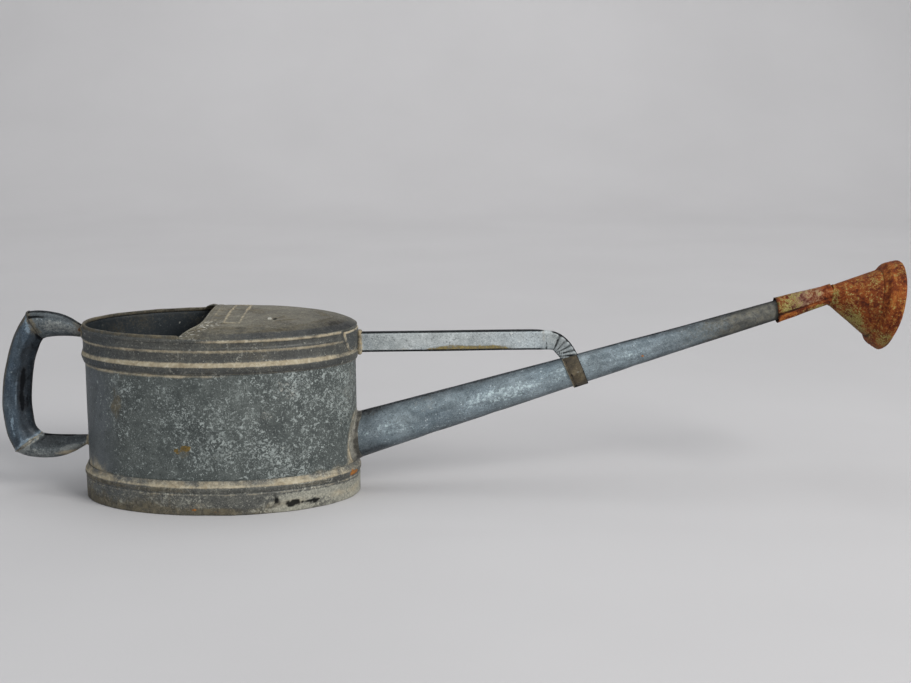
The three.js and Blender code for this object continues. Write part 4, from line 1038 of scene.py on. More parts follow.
            dust = dust + root * (0.7 + 0.5 * n2) * (x > -160)
            return {"dark": dark, "pale": pale, "dust": dust, "rust": rust, "umber": umber, "shade": shade, "fleck": 0.5 + 0.4 * n1, "blue": (0.5 if name == "grip" else 0.12) + 0.4 * n1}

        piece("handle_" + name, capped(rings), tube_faces(count, SECTION), HANDLE if name == "grip" else ARM, "can", [node], paint)
        if p is not None:
            # run of solder where the arm meets the body
            edge = []
            for j in range(SECTION):
                row = rings[:, j]
                lim = -oval_x(row[:, 1], p)
                free = row[:, 0] < lim - 1e-6
                i = np.max(np.nonzero(free)[0]) if name == "low_arm" else np.min(np.nonzero(free)[0])
                edge.append([lim[i] + 0.1, row[i, 1] * 1.02, row[i, 2]])
            path = along(np.vstack([edge, edge[:1]]), 90)[:-1]
            bead("solder_" + name, path, 1.5 + 0.5 * fbm(path, 9, 241 + k, 2), SOLDER, "can", seed=251 + k, lumps=0.5,
                 paint=lambda co, normal: {"dust": 0.55 + 0.45 * fbm(co, 8, 261, 3), "dark": 0.25 + 0.5 * fbm(co, 6, 262, 2)})
    for k, (name, mitre) in enumerate((("mitre_top", TOP_MITRE), ("mitre_low", LOW_MITRE))):
        st = np.array([mitre], float)
        ring, centre = section(st, np.linspace(0, TAU, 120, endpoint=False))
        ring = ring[0]
        u = np.cos(np.linspace(0, TAU, 120, endpoint=False))
        if k == 0:
            r = 0.62 + 0.35 * step(-0.2, 0.7, u) + 0.35 * fbm(ring, 9, 271, 2)
        else:
            r = 0.7 + 0.9 * step(0.9, 0.2, u) * step(-0.9, -0.3, u) + 0.6 * fbm(ring, 8, 272, 2)
        axis = np.array([mitre[0] - mitre[2], 0, mitre[1] - mitre[3]], float)
        out = ring - centre[0]
        out /= np.linalg.norm(out, axis=1)[:, None]
        bead("solder_" + name, ring - 0.25 * out, np.maximum(r, 0.3), SOLDER, "can", seed=275 + k, lumps=0.55, flat=out,
             paint=lambda co, normal, k=k: {"dust": (0.35 if k else 0.3) + 0.6 * fbm(co, 6, 281, 3), "dark": (0.4 if k else 0.72) + 0.6 * fbm(co, 4, 282, 3)})


# ------------------------------------------------------------------ spout, its root and the strap
def build_spout():
    a = np.linspace(0, TAU, 84, endpoint=False)
    start = spout_meets(a, -0.8)
    rows = 190
    s = np.linspace(0, 1, rows)
    xs = start[None] + (588.0 - start[None]) * s[:, None]
    outer = axis_at(xs) + radius_at(xs)[..., None] * around(a)[None]
    d = (0.20 * fbm(outer, 46, 301, 2) + 0.09 * fbm(outer, 14, 303, 2)) * step(0, 0.03, s)[:, None]
    for c, w, k in ((205, 9, -0.5), (268, 7, -0.35), (412, 8, -0.4), (470, 5, -0.35), (520, 6, -0.3)):
        aim = (c * 1.7) % TAU
        d = d + k * np.exp(-((xs - c) / w) ** 2 - (np.angle(np.exp(1j * (a[None] - aim))) / 0.5) ** 2)
    outer = outer + d[..., None] * around(a)[None]
    inner = axis_at(xs) + (radius_at(xs) - 1.0)[..., None] * around(a)[None]
    rings = np.vstack([outer, inner[::-6], inner[:1]])
    n = len(rings)

    def paint(co, normal):
        x, y, z = co.T
        rel = co - axis_at(x)
        up = rel @ UPWARD / np.maximum(radius_at(x), 1)
        bore = (normal * rel).sum(1) < 0
        n1, n2, n3 = fbm(co, 26, 311, 3), fbm(co, 8, 312, 3), fbm(co, 3, 313, 2)
        streaks = fbm(np.stack([(co @ AXIS) * 0.16, y, rel @ UPWARD], -1), 3.5, 314, 3)
        clouds = fbm(np.stack([(co @ AXIS) * 0.4, y, rel @ UPWARD], -1), 16, 315, 3)
        tip = step(400, 570, x)
        near_strap = np.exp(-np.clip(np.abs(x - 356) - 8, 0, 99) / 5)
        shade = 0.5 * step(0.66, 0.97, up) + 0.65 * step(-0.4, -0.92, up) + 0.3 * step(0.0, 0.5, -clouds) + 0.25 * step(0.1, 0.5, -streaks)
        shade += 0.52 * step(176, 146, x) + 0.3 * step(370, 470, x) * (0.6 + 0.5 * n1) + 0.26 * tip
        # painted shade: dark lines along the top and bottom outlines; the bore is painted dark as well
        dark = 0.55 * step(-0.9, -0.985, up) + 0.62 * step(0.90, 0.98, up)
        dark += 0.16 * step(0.35, 0.8, streaks) + 0.2 * tip * step(0.0, 0.7, n2)
        dark += 0.9 * spot(co, (299, -16, 105.2), (3.6, 3, 0.8), 321, 0.3) + 0.8 * spot(co, (303, -15.8, 101.6), (2.8, 3, 0.7), 322, 0.3) + 0.7 * spot(co, (290, -16, 99.6), (2.2, 3, 0.7), 324, 0.3)
        dark += 0.8 * spot(co, (247, -16.5, 98.5), (1.6, 3, 0.8), 325, 0.3) + 0.7 * spot(co, (189, -19.5, 74.5), (1.8, 3, 1.0), 326, 0.4)
        umber = 0.06 + 0.25 * n1 + tip * (1.0 + 0.4 * n2) + 0.3 * near_strap * (0.6 + n2) + 0.3 * step(0.6, 0.95, up) * step(330, 250, x)
        umber += 0.3 * step(162, 142, x) * (0.6 + n2)
        dust = 0.12 * np.exp(-np.clip(x - 148, 0, 999) / 3.5) * (0.7 + 0.6 * n2) + 0.22 * tip * step(0.1, 0.6, n1) + 0.42 * step(-0.1, 0.55, up) * step(0.97, 0.85, up) * step(345, 190, x) * step(150, 182, x) * (0.6 + 0.9 * n1)
        # the second term is a painted highlight, a pale band a little above the middle; the first term is pale specks
        # low on the spout
        pale = 0.42 * step(0.15, 0.5, n3) * step(-0.45, -0.7, up) * step(-0.97, -0.88, up) + 0.56 * step(-0.2, 0.35, clouds + 0.35 * streaks) * step(0.75, 0.35, np.abs(up - 0.16)) * step(470, 380, x)
        pale += 0.2 * step(0.3, 0.65, n3) * step(410, 340, x)
        rust = 0.9 * spot(co, (421, -12.4, 139.0), (1.7, 2.4, 1.2), 323, 0.3) + 0.2 * tip * step(0.45, 0.8, n2)
        blue = 0.4 + 0.6 * n1 - 0.45 * tip
        rust = rust + np.where(bore, 0.5, 0)
        return {"dark": np.where(bore, 0.5, dark), "umber": umber, "dust": dust, "pale": np.where(bore, 0, pale), "rust": rust, "blue": blue, "shade": np.where(bore, 0.3, shade),
                "fleck": 0.5 + 0.4 * n1 - 0.25 * tip, "inside": bore.astype(float)}

    piece("spout_skin", rings, quads(n, len(a), False, True), SPOUT, "can", ["spout_tube"], paint)

    # soldered flare between wall and spout
    a = np.linspace(0, TAU, 132, endpoint=False)
    reach = 5.3 + 0.9 * fbm(np.stack([30 * np.cos(a), 30 * np.sin(a), 0 * a], -1), 13, 331, 2)
    meet_x = spout_meets(a, 0.0)
    meet = on_spout(meet_x, a)
    foot = axis_at(meet_x) + (radius_at(meet_x) + reach)[:, None] * around(a)
    foot[:, 2] = np.maximum(foot[:, 2], 33.2)
    foot[:, 0] = oval_x(foot[:, 1], 0.22)
    reach2 = 6.2 + 1.6 * fbm(np.stack([30 * np.cos(a), 30 * np.sin(a), 0 * a + 50], -1), 15, 333, 2)
    tip = on_spout(meet_x + reach2, a, 0.12)
    knee = meet + 0.55 * around(a) + np.array([0.7, 0, 0.0])
    t = np.linspace(0, 1, 16)
    grid = ((1 - t) ** 3)[:, None, None] * foot[None] + (1 - t ** 3 - (1 - t) ** 3)[:, None, None] * knee[None] + (t ** 3)[:, None, None] * tip[None]
    bulge = np.sin(math.pi * t)[:, None] * (0.4 * fbm(grid, 7, 335, 3) + 0.28)
    push = around(a)[None] * 0.6 + np.array([0.75, 0, 0])
    grid = grid + bulge[..., None] * push
    back = np.stack([tip - 1.6 * around(a), meet - 1.5 * around(a) - np.array([1.0, 0, 0]), foot - np.array([1.0, 0, 0])])
    grid = np.vstack([grid, back])

    def paint2(co, normal):
        n1, n2 = fbm(co, 9, 341, 3), fbm(co, 3.5, 342, 3)
        d = np.hypot((co - axis_at(co[:, 0])) @ UPWARD, co[:, 1]) - radius_at(co[:, 0])
        # dark near the spout's skin is painted shade
        return {"dust": 0.06 + 0.4 * n1 + 0.42 * step(3.5, 5.2, d), "dark": 0.4 * step(2.0, 0.2, d) + 0.28 + 0.3 * n2 + 0.3 * step(40, 36, co[:, 2]) - 0.34 * step(3.7, 5.2, d)}

    piece("spout_root_solder", grid, quads(len(grid), len(a), True, True), SOLDER, "can", ["spout_root_flange"], paint2)

    # strap round spout and stay
    a = np.linspace(math.radians(19), TAU - math.radians(19), 110)
    xs = np.linspace(348.9, 363.4, 12)
    skin = axis_at(xs)[:, None] + (radius_at(xs)[:, None, None] + 1.35) * around(a)[None]
    lump = 0.22 * fbm(skin, 6, 351, 3) - 0.25 * (np.abs(np.linspace(-1, 1, 12)) > 0.95)[:, None]
    skin = skin + lump[..., None] * around(a)[None]
    ends = 1.0 - 0.85 * (step(0.06, 0.0, np.linspace(0, 1, 110)) + step(0.94, 1.0, np.linspace(0, 1, 110)))
    slant = 0.5 * fbm(np.stack([20 * np.cos(a), 20 * np.sin(a), 0 * a], -1), 12, 353, 2)
    lean = -1.9 * (np.cos(a) + 1) * 0.95
    lapped = 0.55 * step(1.50, 1.58, a) * step(TAU - 1.50, TAU - 1.58, a)
    skin = skin + (slant[None, :, None] * np.linspace(-1, 1, 12)[:, None, None] + lean[None, :, None]) * AXIS + lapped[None, :, None] * around(a)[None]
    base = axis_at(xs)[:, None] + (radius_at(xs)[:, None, None] + 0.15) * around(a)[None]
    base = base + (slant[None, :, None] * np.linspace(-1, 1, 12)[:, None, None] + lean[None, :, None]) * AXIS
    loop = np.vstack([skin, base[::-1]])
    loop = np.swapaxes(loop, 0, 1)
    n, m = loop.shape[:2]

    def paint3(co, normal):
        n1, n2 = fbm(co, 9, 361, 3), fbm(co, 3, 362, 3)
        low = (co - axis_at(co[:, 0])) @ UPWARD / 15
        s = (co @ AXIS - axis_at(np.array([348.9]))[0] @ AXIS + 1.8 * (low + 1)) / 15.1
        mid = np.exp(-((s - 0.62) / 0.26) ** 2)
        joint = np.exp(-((low - 0.07) / 0.05) ** 2)
        # the thin dark lines and the darker underside are painted shade
        return {"pale": 0.5 * mid * step(-0.35, 0.0, low) * step(0.5, 0.2, low) * (0.7 + 0.7 * n2) + 0.12 * joint, "dust": 0.8 * step(0.12, 0.0, s) * (0.85 + 0.3 * n1) + 0.25 * step(0.2, 0.7, n1),
                "dark": 0.75 * step(0.9, 1.0, s) + 0.6 * np.exp(-((s - 0.17) / 0.04) ** 2) + 0.5 * step(-0.75, -1.0, low) + 0.4 * np.exp(-((low + 0.03) / 0.04) ** 2) + 0.25 * step(0.1, 0.6, n2), "umber": 0.45 + 0.4 * n1,
                "shade": 0.25 * step(-0.1, -0.8, low) + 0.2 * step(0.3, 0.9, low), "fleck": 0.5 + 0.3 * n2, "rust": 0.3 * step(0.2, 0.6, n1)}

    piece("strap_band", capped(loop), tube_faces(n, m), STRAP, "can", ["spout_strap"], paint3)


# ------------------------------------------------------------------ stay and the plate that carries it
def build_brace():
    top = [(131, 162.6), (137.4, 162.7), (179.3, 163), (229.4, 163.5), (279.5, 164), (309.5, 164.1), (323.6, 163.4), (332.7, 162), (339.7, 159.2), (345.8, 154.6), (350.9, 148.9),
           (354.8, 142.8), (358.4, 136.4), (365.5, 122.5)]
    low = [(131, 142.2), (179.2, 142.6), (229.3, 143), (279.5, 143.7), (319.8, 143.9), (331, 143.7), (334.4, 141), (340.2, 134.4), (345.6, 127.6), (351.5, 118.5)]

    def split(points, at, n0, n1):
        p = along(np.array(points, float), 900)
        k = int(np.argmin(np.abs(p[:, 0] - at)))
        return np.vstack([along(p[:k + 1], n0, True)[:-1], along(p[k:], n1, True)])

    a, b = split(top, 312, 110, 60), split(low, 323, 110, 60)
    rows = len(a)
    centre = (a + b) / 2
    half = (a - b) / 2
    h = np.linalg.norm(half, axis=1)
    up = half / h[:, None]
    w, r = 4.75, 3.0
    rings = []
    bend = np.linspace(0, 1, rows)
    for i in range(rows):
        hh = h[i]
        ring = []
        flank = np.linspace(-(hh - r), hh - r, 9)
        for q in flank:
            ring.append((w, q))
        for g in np.linspace(0, math.pi / 2, 6)[1:]:
            ring.append((w - r + r * math.cos(g), hh - r + r * math.sin(g)))
        for g in np.linspace(math.pi / 2, math.pi, 6):
            ring.append((-(w - r) + r * math.cos(g), hh - r + r * math.sin(g)))
        for q in flank[::-1][1:]:
            ring.append((-w, q))
        for g in np.linspace(math.pi, 1.5 * math.pi, 6)[1:]:
            ring.append((-(w - r) + r * math.cos(g), -(hh - r) + r * math.sin(g)))
        for g in np.linspace(1.5 * math.pi, TAU, 6)[:-1]:
            ring.append((w - r + r * math.cos(g), -(hh - r) + r * math.sin(g)))
        rings.append(ring)
    rings = np.array(rings)
    cols = rings.shape[1]
    pts = np.stack([centre[:, 0][:, None] + up[:, 0][:, None] * rings[..., 1], -rings[..., 0],
                    centre[:, 1][:, None] + up[:, 1][:, None] * rings[..., 1]], -1)
    # flanks wander a little; folds fan out where the stay was bent down
    side = np.sign(pts[..., 1]) * step(1.5, 4.2, np.abs(pts[..., 1]))
    pts[..., 1] += side * (0.28 * fbm(pts, 30, 401, 2) + 0.1 * fbm(pts, 9, 402, 2))
    # a shallow hollow along each flank
    rel = rings[..., 1] / h[:, None]
    pts[..., 1] -= side * 0.35 * (1 - rel ** 2)
    corner = np.array([329.0, 137.0])
    v = pts[..., [0, 2]] - corner
    angle = np.degrees(np.arctan2(v[..., 1], v[..., 0]))
    near = step(318, 332, pts[..., 0])
    fold = 0
    for c, wd, dp in ((64, 6, 0.55), (46, 4.5, 0.95), (31, 4.0, 1.1), (17, 4.0, 1.15), (4, 4.0, 0.9), (-9, 4.5, 0.8)):
        fold = fold + dp * np.exp(-((angle - c - 5 * noise(pts, 12, 411)) / wd) ** 2)
    depth = 0.35 + 0.65 * step(0.9, -0.7, rel)
    pts[..., 1] -= side * fold * depth * near * 1.5
    x_wall = oval_x(pts[..., 1], 2.4)
    pts[..., 0] = np.maximum(pts[..., 0], x_wall)
    fold_mask = fold * near

    # the lower end lies on the spout
    at = pts[..., 0]
    rel_ax = pts - axis_at(at)
    upv = rel_ax @ UPWARD
    reach = radius_at(at) ** 2 - pts[..., 1] ** 2
    floor = np.sqrt(np.clip(reach, 0, None)) - 0.4
    sink = np.where((at > 335) & (upv < floor), floor - upv, 0)
    pts = pts + sink[..., None] * UPWARD

    def paint(co, normal):
        x, y, z = co.T
        n1, n2, n3 = fbm(co, 26, 421, 3), fbm(co, 8, 422, 3), fbm(co, 3, 423, 2)
        straight = step(330, 318, x)
        line = 162.6 + np.clip(x - 131, 0, 180) * 0.0085
        # painted shade: dark lines along the top and bottom edges of the straight part
        top_edge_shade = step(line - 2.1, line - 1.0, z) * straight
        base_line = 142.2 + np.clip(x - 131, 0, 190) * 0.009
        low_edge_shade = step(base_line + 3.2, base_line + 2.0, z) * straight
        v = co[:, [0, 2]] - corner
        angle = np.degrees(np.arctan2(v[:, 1], v[:, 0]))
        folds = 0
        for c, wd in ((64, 5.5), (46, 4.6), (31, 4.2), (17, 4.2), (4, 4.2), (-9, 4.6)):
            folds = folds + np.exp(-((angle - c - 5 * noise(co, 12, 411)) / wd) ** 2)
        bendzone = step(326, 334, x)
        turned = step(0.45, 0.85, normal[:, 2] + 0.4 * normal[:, 0])
        # painted shade in the folds of the bend; the bend's upward-turned faces are painted dark as well
        dark = 0.85 * top_edge_shade + 0.8 * low_edge_shade + 1.02 * folds * bendzone * (0.8 + 0.8 * n2) * step(-6, 3, z - 137 - 0.4 * (336 - x)) + 0.9 * bendzone * turned
        dark += 0.6 * spot(co, (325.5, -4.6, 149.0), (1.4, 3, 5.5), 431, 0.4)
        umber = 0.02 + 0.15 * n1 + 0.45 * bendzone * (0.6 + 0.7 * n2)
        along_it = np.abs(x - 248 + 6 * n1)
        height = base_line + 2.4 + 6.0 * step(64, 16, along_it)
        stain = step(0.0, 3.4, height - z + 1.3 * n2) * step(68, 50, along_it) * step(-1, 3, z - base_line)
        rust = 0.75 * stain * (0.9 + 0.4 * n1)
        umber += 0.85 * stain
        dust = 0.95 * np.exp(-(np.clip(x - 137, 0, 99) / 5.5) ** 2) * (z > 140) * (0.9 + 0.4 * n2) + 0.6 * np.exp(-((x - 322.5) / 2.6) ** 2) * step(143, 147, z) * (0.6 + 0.6 * n2)
        dust += 0.1 * stain + 0.4 * bendzone * step(0.05, 0.5, n2) * (1 - np.clip(folds, 0, 1))
        dust += 0.5 * step(140, 156, x) * step(322, 300, x) * np.exp(-((z - base_line - 3.0) / 0.8) ** 2) * (0.8 + 0.8 * n2)
        pale = 0.3 * step(0.1, 0.6, n1) * straight
        return {"dark": dark, "umber": umber, "dust": dust, "pale": pale, "rust": rust, "shade": 0.4 * bendzone * step(0.0, 0.6, -n2 + 0.3) + 0.25 * step(152, 146, x) * step(141, 145, x),
                "fleck": 0.5 + 0.4 * n1, "blue": 0.3 + 0.6 * n1}

    piece("stay_skin", capped(pts), tube_faces(rows, cols), BRACE, "can", ["brace_stay"], paint)

    # plate on the collar
    zs = np.linspace(146.6, 168.3, 26)
    ws = np.interp(zs, [146.6, 147.2, 149.2, 154, 160, 165.4, 168.3], [22, 25, 28.6, 31.5, 34, 36, 35.6])
    v = np.linspace(-1, 1, 64)
    y = ws[:, None] * v[None]
    z = zs[:, None] + 0 * y
    border = np.minimum(np.minimum((1 - np.abs(v))[None] * ws[:, None], (zs - 146.6)[:, None] + 0 * y), (168.3 - zs)[:, None] + 0 * y)
    p = 1.55 + 1.1 * step(-0.1, 1.3, border)
    flat = np.stack([oval_x(y, 0) * 0, y, z], -1)
    p = p + 0.16 * fbm(flat, 11, 431, 2)
    x = oval_x(y, 0.0) + p / np.maximum(np.sqrt(1 - (y / WIDE) ** 2 * 0.6), 0.6)
    d = dents(np.stack([oval_x(y, 0.0), y, z], -1))
    front = np.stack([x + d, y, z], -1)
    back = np.stack([oval_x(y, 0.0) + 1.2 + d, y, z], -1)
    nu, nv = front.shape[:2]
    n = nu * nv
    faces = quads(nu, nv, False, False) + [f[::-1] for f in quads(nu, nv, False, False, n)]
    for i in range(nu - 1):
        faces.append([i * nv, n + i * nv, n + (i + 1) * nv, (i + 1) * nv])
        faces.append([i * nv + nv - 1, (i + 1) * nv + nv - 1, n + (i + 1) * nv + nv - 1, n + i * nv + nv - 1])
    for j in range(nv - 1):
        faces.append([j, j + 1, n + j + 1, n + j])
        k = (nu - 1) * nv
        faces.append([k + j, n + k + j, n + k + j + 1, k + j + 1])

    def paint2(co, normal):
        x, y, z = co.T
        n1, n2 = fbm(co, 16, 441, 3), fbm(co, 5, 442, 3)
        w = np.interp(z, [146.6, 149.2, 154, 160, 165.4, 168.3], [22, 28.6, 31.5, 34, 36, 35.6])
        border = np.minimum(np.minimum(w - np.abs(y), z - 146.6), 168.3 - z)
        return {"dust": 0.8 * step(3.6, 0.6, border) * (0.75 + 0.9 * n2) + 0.26 * step(0.2, 0.7, n1), "pale": 0.35 * step(0.1, 0.6, n2),
                "umber": 0.3 + 0.4 * n1, "dark": 0.3 * step(0.1, 0.6, n2) + 0.5 * np.exp(-((border - 4.6) / 1.0) ** 2) * (0.7 + 0.8 * n1), "fleck": 0.66 + 0.3 * n1, "blue": 0.4 + 0 * x}

    piece("stay_plate", np.vstack([front.reshape(-1, 3), back.reshape(-1, 3)]), faces, BAND, "can", ["brace_foot_plate"], paint2)

    # solder where the stay stands on its plate
    i = 4
    ring = np.array([[oval_x(q[1], 2.6) + 0.3, q[1] * 1.03, q[2]] for q in pts[0]])
    path = along(np.vstack([ring, ring[:1]]), 84)[:-1]
    bead("solder_stay_root", path + np.array([1.1, 0, 0]), 2.3 + 0.6 * fbm(path, 8, 451, 2), SOLDER, "can", seed=453, lumps=0.5,
         paint=lambda co, normal: {"dust": 0.6 + 0.4 * fbm(co, 7, 455, 3), "dark": 0.15 + 0.5 * fbm(co, 5, 456, 2)})


# ------------------------------------------------------------------ rose
ROSE_TURN = math.radians(-10.6)
ROSE_AXIS = np.array([math.cos(ROSE_TURN), 0, math.sin(ROSE_TURN)])
ROSE_UP = np.array([-math.sin(ROSE_TURN), 0, math.cos(ROSE_TURN)])
JOINT = np.array([611.3, 0, 197.9])


def rose_around(a):
    a = np.asarray(a, float)
    return np.cos(a)[..., None] * ROSE_UP + np.sin(a)[..., None] * ACROSS


def lathe_rose(profile, count, wobble=None):
    """profile is [radius, place along the rose] swept round the rose's axis."""
    a = np.linspace(0, TAU, count, endpoint=False)
    r = profile[:, 0][:, None] + 0 * a[None]
    s = profile[:, 1][:, None] + 0 * a[None]
    if wobble is not None:
        r, s = wobble(r, s, a[None] + 0 * r)
    return JOINT + s[..., None] * ROSE_AXIS + r[..., None] * rose_around(a)[None], a


def rose_coords(co):
    rel = co - JOINT
    s = rel @ ROSE_AXIS
    up, near = rel @ ROSE_UP, rel @ ACROSS
    return s, np.hypot(up, near), np.arctan2(near, up)


def dent_rim(r, s, a):
    """The rim is pushed flat at its lower, nearer side."""
    hit = np.exp(-(np.angle(np.exp(1j * (a - 2.55))) / 0.55) ** 2) * step(36, 44, r)
    r = r * (1 + 0.006 * np.sin(2 * a + 0.7) + 0.004 * np.sin(5 * a + 1.1))
    return r - 1.9 * hit, s - 1.6 * hit


def build_rose():
    # split sleeve: the sheet laps over itself low on the near side
    seam = math.radians(117)
    lap = math.radians(26)
    count, rows = 92, 44
    g = np.linspace(0, 1, count)
    a = seam + (TAU + lap) * g - lap * 0.5
    joint_n = np.array([math.cos(math.radians(-8)), 0, math.sin(math.radians(-8))])
    xs0 = 556.6
    s = np.linspace(0, 1, rows)
    rings = []
    for side in (0.0, -0.85):
        grid = []
        for k in s:
            r = np.interp(xs0 + (612 - xs0) * k, [556.6, 560, 575, 590, 603, 612, 618], [12.3, 12.15, 11.45, 10.4, 9.6, 9.95, 10.2])
            # inner layer first, outer layer last, the outer one lifting towards the mouth
            lift = 0.95 * step(0.16, 0.075, g) + 0.85 * (1 - step(0.0, 0.5, k)) * step(0.22, 0.02, g)
            tuck = -0.35 * step(0.84, 0.93, g)
            flare = 0.55 * (1 - step(0.0, 0.06, k))
            rad = r + lift + tuck + flare * 0.5 + side
            x_end = 0
            base = axis_at(np.array([xs0 + (612.0 - xs0) * k]))[0]
            ragged = 1.3 * fbm(np.stack([12 * np.cos(a), 12 * np.sin(a), 0 * a], -1), 7, 501, 2) * (1 - step(0.0, 0.1, k))
            skew = (2.2 * np.cos(a) - 0.8) * (1 - step(0.0, 0.3, k))
            p = base + rad[:, None] * around(a) + (ragged * 0.8 + skew)[:, None] * AXIS
            grid.append(p)
        rings.append(np.array(grid))
    outer, inner = rings
    # the neck end is trimmed to the plane where it meets the cone
    for grid in (outer, inner):
        over = (grid - JOINT) @ joint_n
        grid -= np.where(over > 0, over, 0)[..., None] * joint_n
    outer += (0.16 * fbm(outer, 12, 503, 2) + 0.1 * noise(outer, 4, 504))[..., None] * around(a)[None]
    n = rows * count
    pts = np.vstack([outer.reshape(-1, 3), inner.reshape(-1, 3)])
    faces = quads(rows, count, False, False) + [f[::-1] for f in quads(rows, count, False, False, n)]
    for i in range(rows - 1):
        faces.append([i * count, n + i * count, n + (i + 1) * count, (i + 1) * count])
        faces.append([i * count + count - 1, (i + 1) * count + count - 1, n + (i + 1) * count + count - 1, n + i * count + count - 1])
    for j in range(count - 1):
        faces.append([j, j + 1, n + j + 1, n + j])
        k = (rows - 1) * count
        faces.append([k + j, n + k + j, n + k + j + 1, k + j + 1])

    def paint(co, normal):
        x, y, z = co.T
        rel = co - axis_at(x)
        ang = np.arctan2(rel @ ACROSS, rel @ UPWARD)
        d = np.angle(np.exp(1j * (ang - seam + lap / 2)))
        n1, n2 = fbm(co, 12, 511, 3), fbm(co, 4, 512, 3)
        k = (x - 556.6) / 55
        bore = (normal * rel).sum(1) < 0
        above = step(0.05, -0.1, d) * (d > -2.6)
        bright = 0.6 * step(0.0, 0.15, d) * step(1.1, 0.6, d) * step(0.5, 0.2, k) * (0.8 + 0.8 * n2) + 0.15 * step(0.2, 0.7, n1)
        # painted shadow: a dark line just above the lapped edge, and dark at the mouth where the sleeve leaves a gap
        # round the spout
        dark = 0.95 * np.exp(-((d + 0.02) / 0.075) ** 2) * step(0.62, 0.42, k) * (0.9 + 0.5 * n2) + 0.6 * np.exp(-np.clip(k, 0, 1) / 0.018)
        dark += 0.5 * step(0.25, 0.55, k) * step(0.75, 0.5, k) * step(0.15, 0.4, d) * step(1.4, 0.9, d) + 0.35 * np.exp(-((k - 0.985) / 0.012) ** 2)
        plum = 0.85 * np.exp(-((k - 0.42) / 0.4) ** 2) * above * (0.9 + 0.5 * n1) + 0.12 * n1
        paintm = 0.46 * step(0.6, 0.2, k) * above * (0.9 + 0.9 * n1) + 0.4 * np.exp(-((k - 0.96) / 0.08) ** 2) * step(1.0, 0.3, np.abs(ang)) + 0.5 * step(0.25, 0.6, k) * step(0.1, 0.4, d) * step(0.95, 0.8, k) + 0.2
        return {"bright": bright, "dark": np.where(bore, 0.75, dark), "plum": plum, "paint": np.where(bore, 0, paintm)}

    piece("sleeve_sheet", pts, faces, ROSE, "rose", ["rose_sleeve"], paint)

    # cone
    outer = [(10.2, -1.6), (10.9, -0.6), (11.0, 0.6), (10.7, 1.6)] + [(10.7 + (23.5 / 42) * q, q) for q in np.linspace(2.2, 42, 26)]
    inner = [(r - 1.1, q) for r, q in outer[::-1]]
    profile = np.array(outer + inner)

    def cone_wobble(r, s, a):
        p = JOINT + s[..., None] * ROSE_AXIS + r[..., None] * rose_around(a)
        return r + (0.28 * fbm(p, 20, 521, 2) + 0.1 * noise(p, 6, 522)) * step(0, 8, s), s

    pts, a = lathe_rose(profile, 120, cone_wobble)

    def paint2(co, normal):
        s, r, ang = rose_coords(co)
        n1, n2, n3 = fbm(co, 18, 531, 3), fbm(co, 6, 532, 3), fbm(co, 2.6, 533, 2)
        streak = fbm(np.stack([s * 0.25, r * np.cos(ang), r * np.sin(ang)], -1), 5, 534, 3)
        inside = (normal * (co - JOINT - s[:, None] * ROSE_AXIS)).sum(1) < 0
        low = step(0.4, -0.8, np.cos(ang))
        paintm = 0.27 + 0.3 * n1 + 0.15 * step(9, 1, s) + 0.15 * step(0.1, 0.6, streak) + 0.4 * low * step(8, 22, s) * (0.6 + n1) + 0.22 * step(-0.35, -0.75, np.cos(ang)) * step(1, 8, s) * (0.8 + n2)
        bright = 0.16 + 0.35 * n2
        # painted shade along the top and bottom outlines and where the cone steps into the rim; the first term darkens
        # the joint
        dark = 0.55 * np.exp(-((s - 0.4) / 0.5) ** 2) * step(1.2, 0.4, np.abs(ang - 1.2)) + 0.35 * step(39.5, 42, s) + 0.25 * step(0.3, 0.8, streak) + 0.45 * step(-0.75, -1.0, np.cos(ang)) + 0.3 * step(0.93, 1.0, np.cos(ang))
        plum = 0.12 + 0.2 * n1
        return {"paint": np.where(inside, 0, paintm), "bright": bright, "dark": np.where(inside, 0.6, dark), "plum": plum}

    piece("cone_sheet", pts, quads(*pts.shape[:2], True, True), ROSE, "rose", ["rose_cone"], paint2)

    # rim
    profile = rounded([(32.6, 41.4, 0.4), (34.6, 41.9, 1.6), (37.6, 44.6, 1.6), (40.6, 46.4, 1.6), (41.9, 48.4, 1.2), (43.2, 52.0, 0.6), (43.9, 52.8, 0.5), (44.9, 55.6, 0.6), (45.5, 56.6, 0.8), (46.0, 58.6, 1.2), (45.3, 60.3, 1.0), (44, 61.0, 0.6),
                       (42.4, 60.9, 0.4), (42.3, 60.2, 0.3), (44.1, 59.9, 0.6), (44.8, 58.8, 0.8), (44.6, 58, 0.6), (40.5, 48.8, 0.8), (39.6, 47.4, 0.8), (34.2, 43.4, 0.6)], 1.7, 3)

    def rim_wobble(r, s, a):
        r, s = dent_rim(r, s, a)
        p = JOINT + s[..., None] * ROSE_AXIS + r[..., None] * rose_around(a)
        return r + 0.22 * fbm(p, 14, 551, 2) + 0.1 * noise(p, 4.5, 552), s

    pts, a = lathe_rose(profile, 190, rim_wobble)

    def paint3(co, normal):
        s, r, ang = rose_coords(co)
        n1, n2 = fbm(co, 16, 561, 3), fbm(co, 5, 562, 3)
        streak = fbm(np.stack([s * 0.2, r * np.cos(ang), r * np.sin(ang)], -1), 4, 564, 3)
        low = step(0.2, -0.9, np.cos(ang))
        inside = (normal * (co - JOINT - s[:, None] * ROSE_AXIS)).sum(1) < -0.2 * r
        paintm = 0.22 + 0.3 * n1 + 0.25 * step(0.0, 0.5, streak) * step(48, 52, s) + 0.3 * low * step(0.0, 0.5, n1 + 0.2)
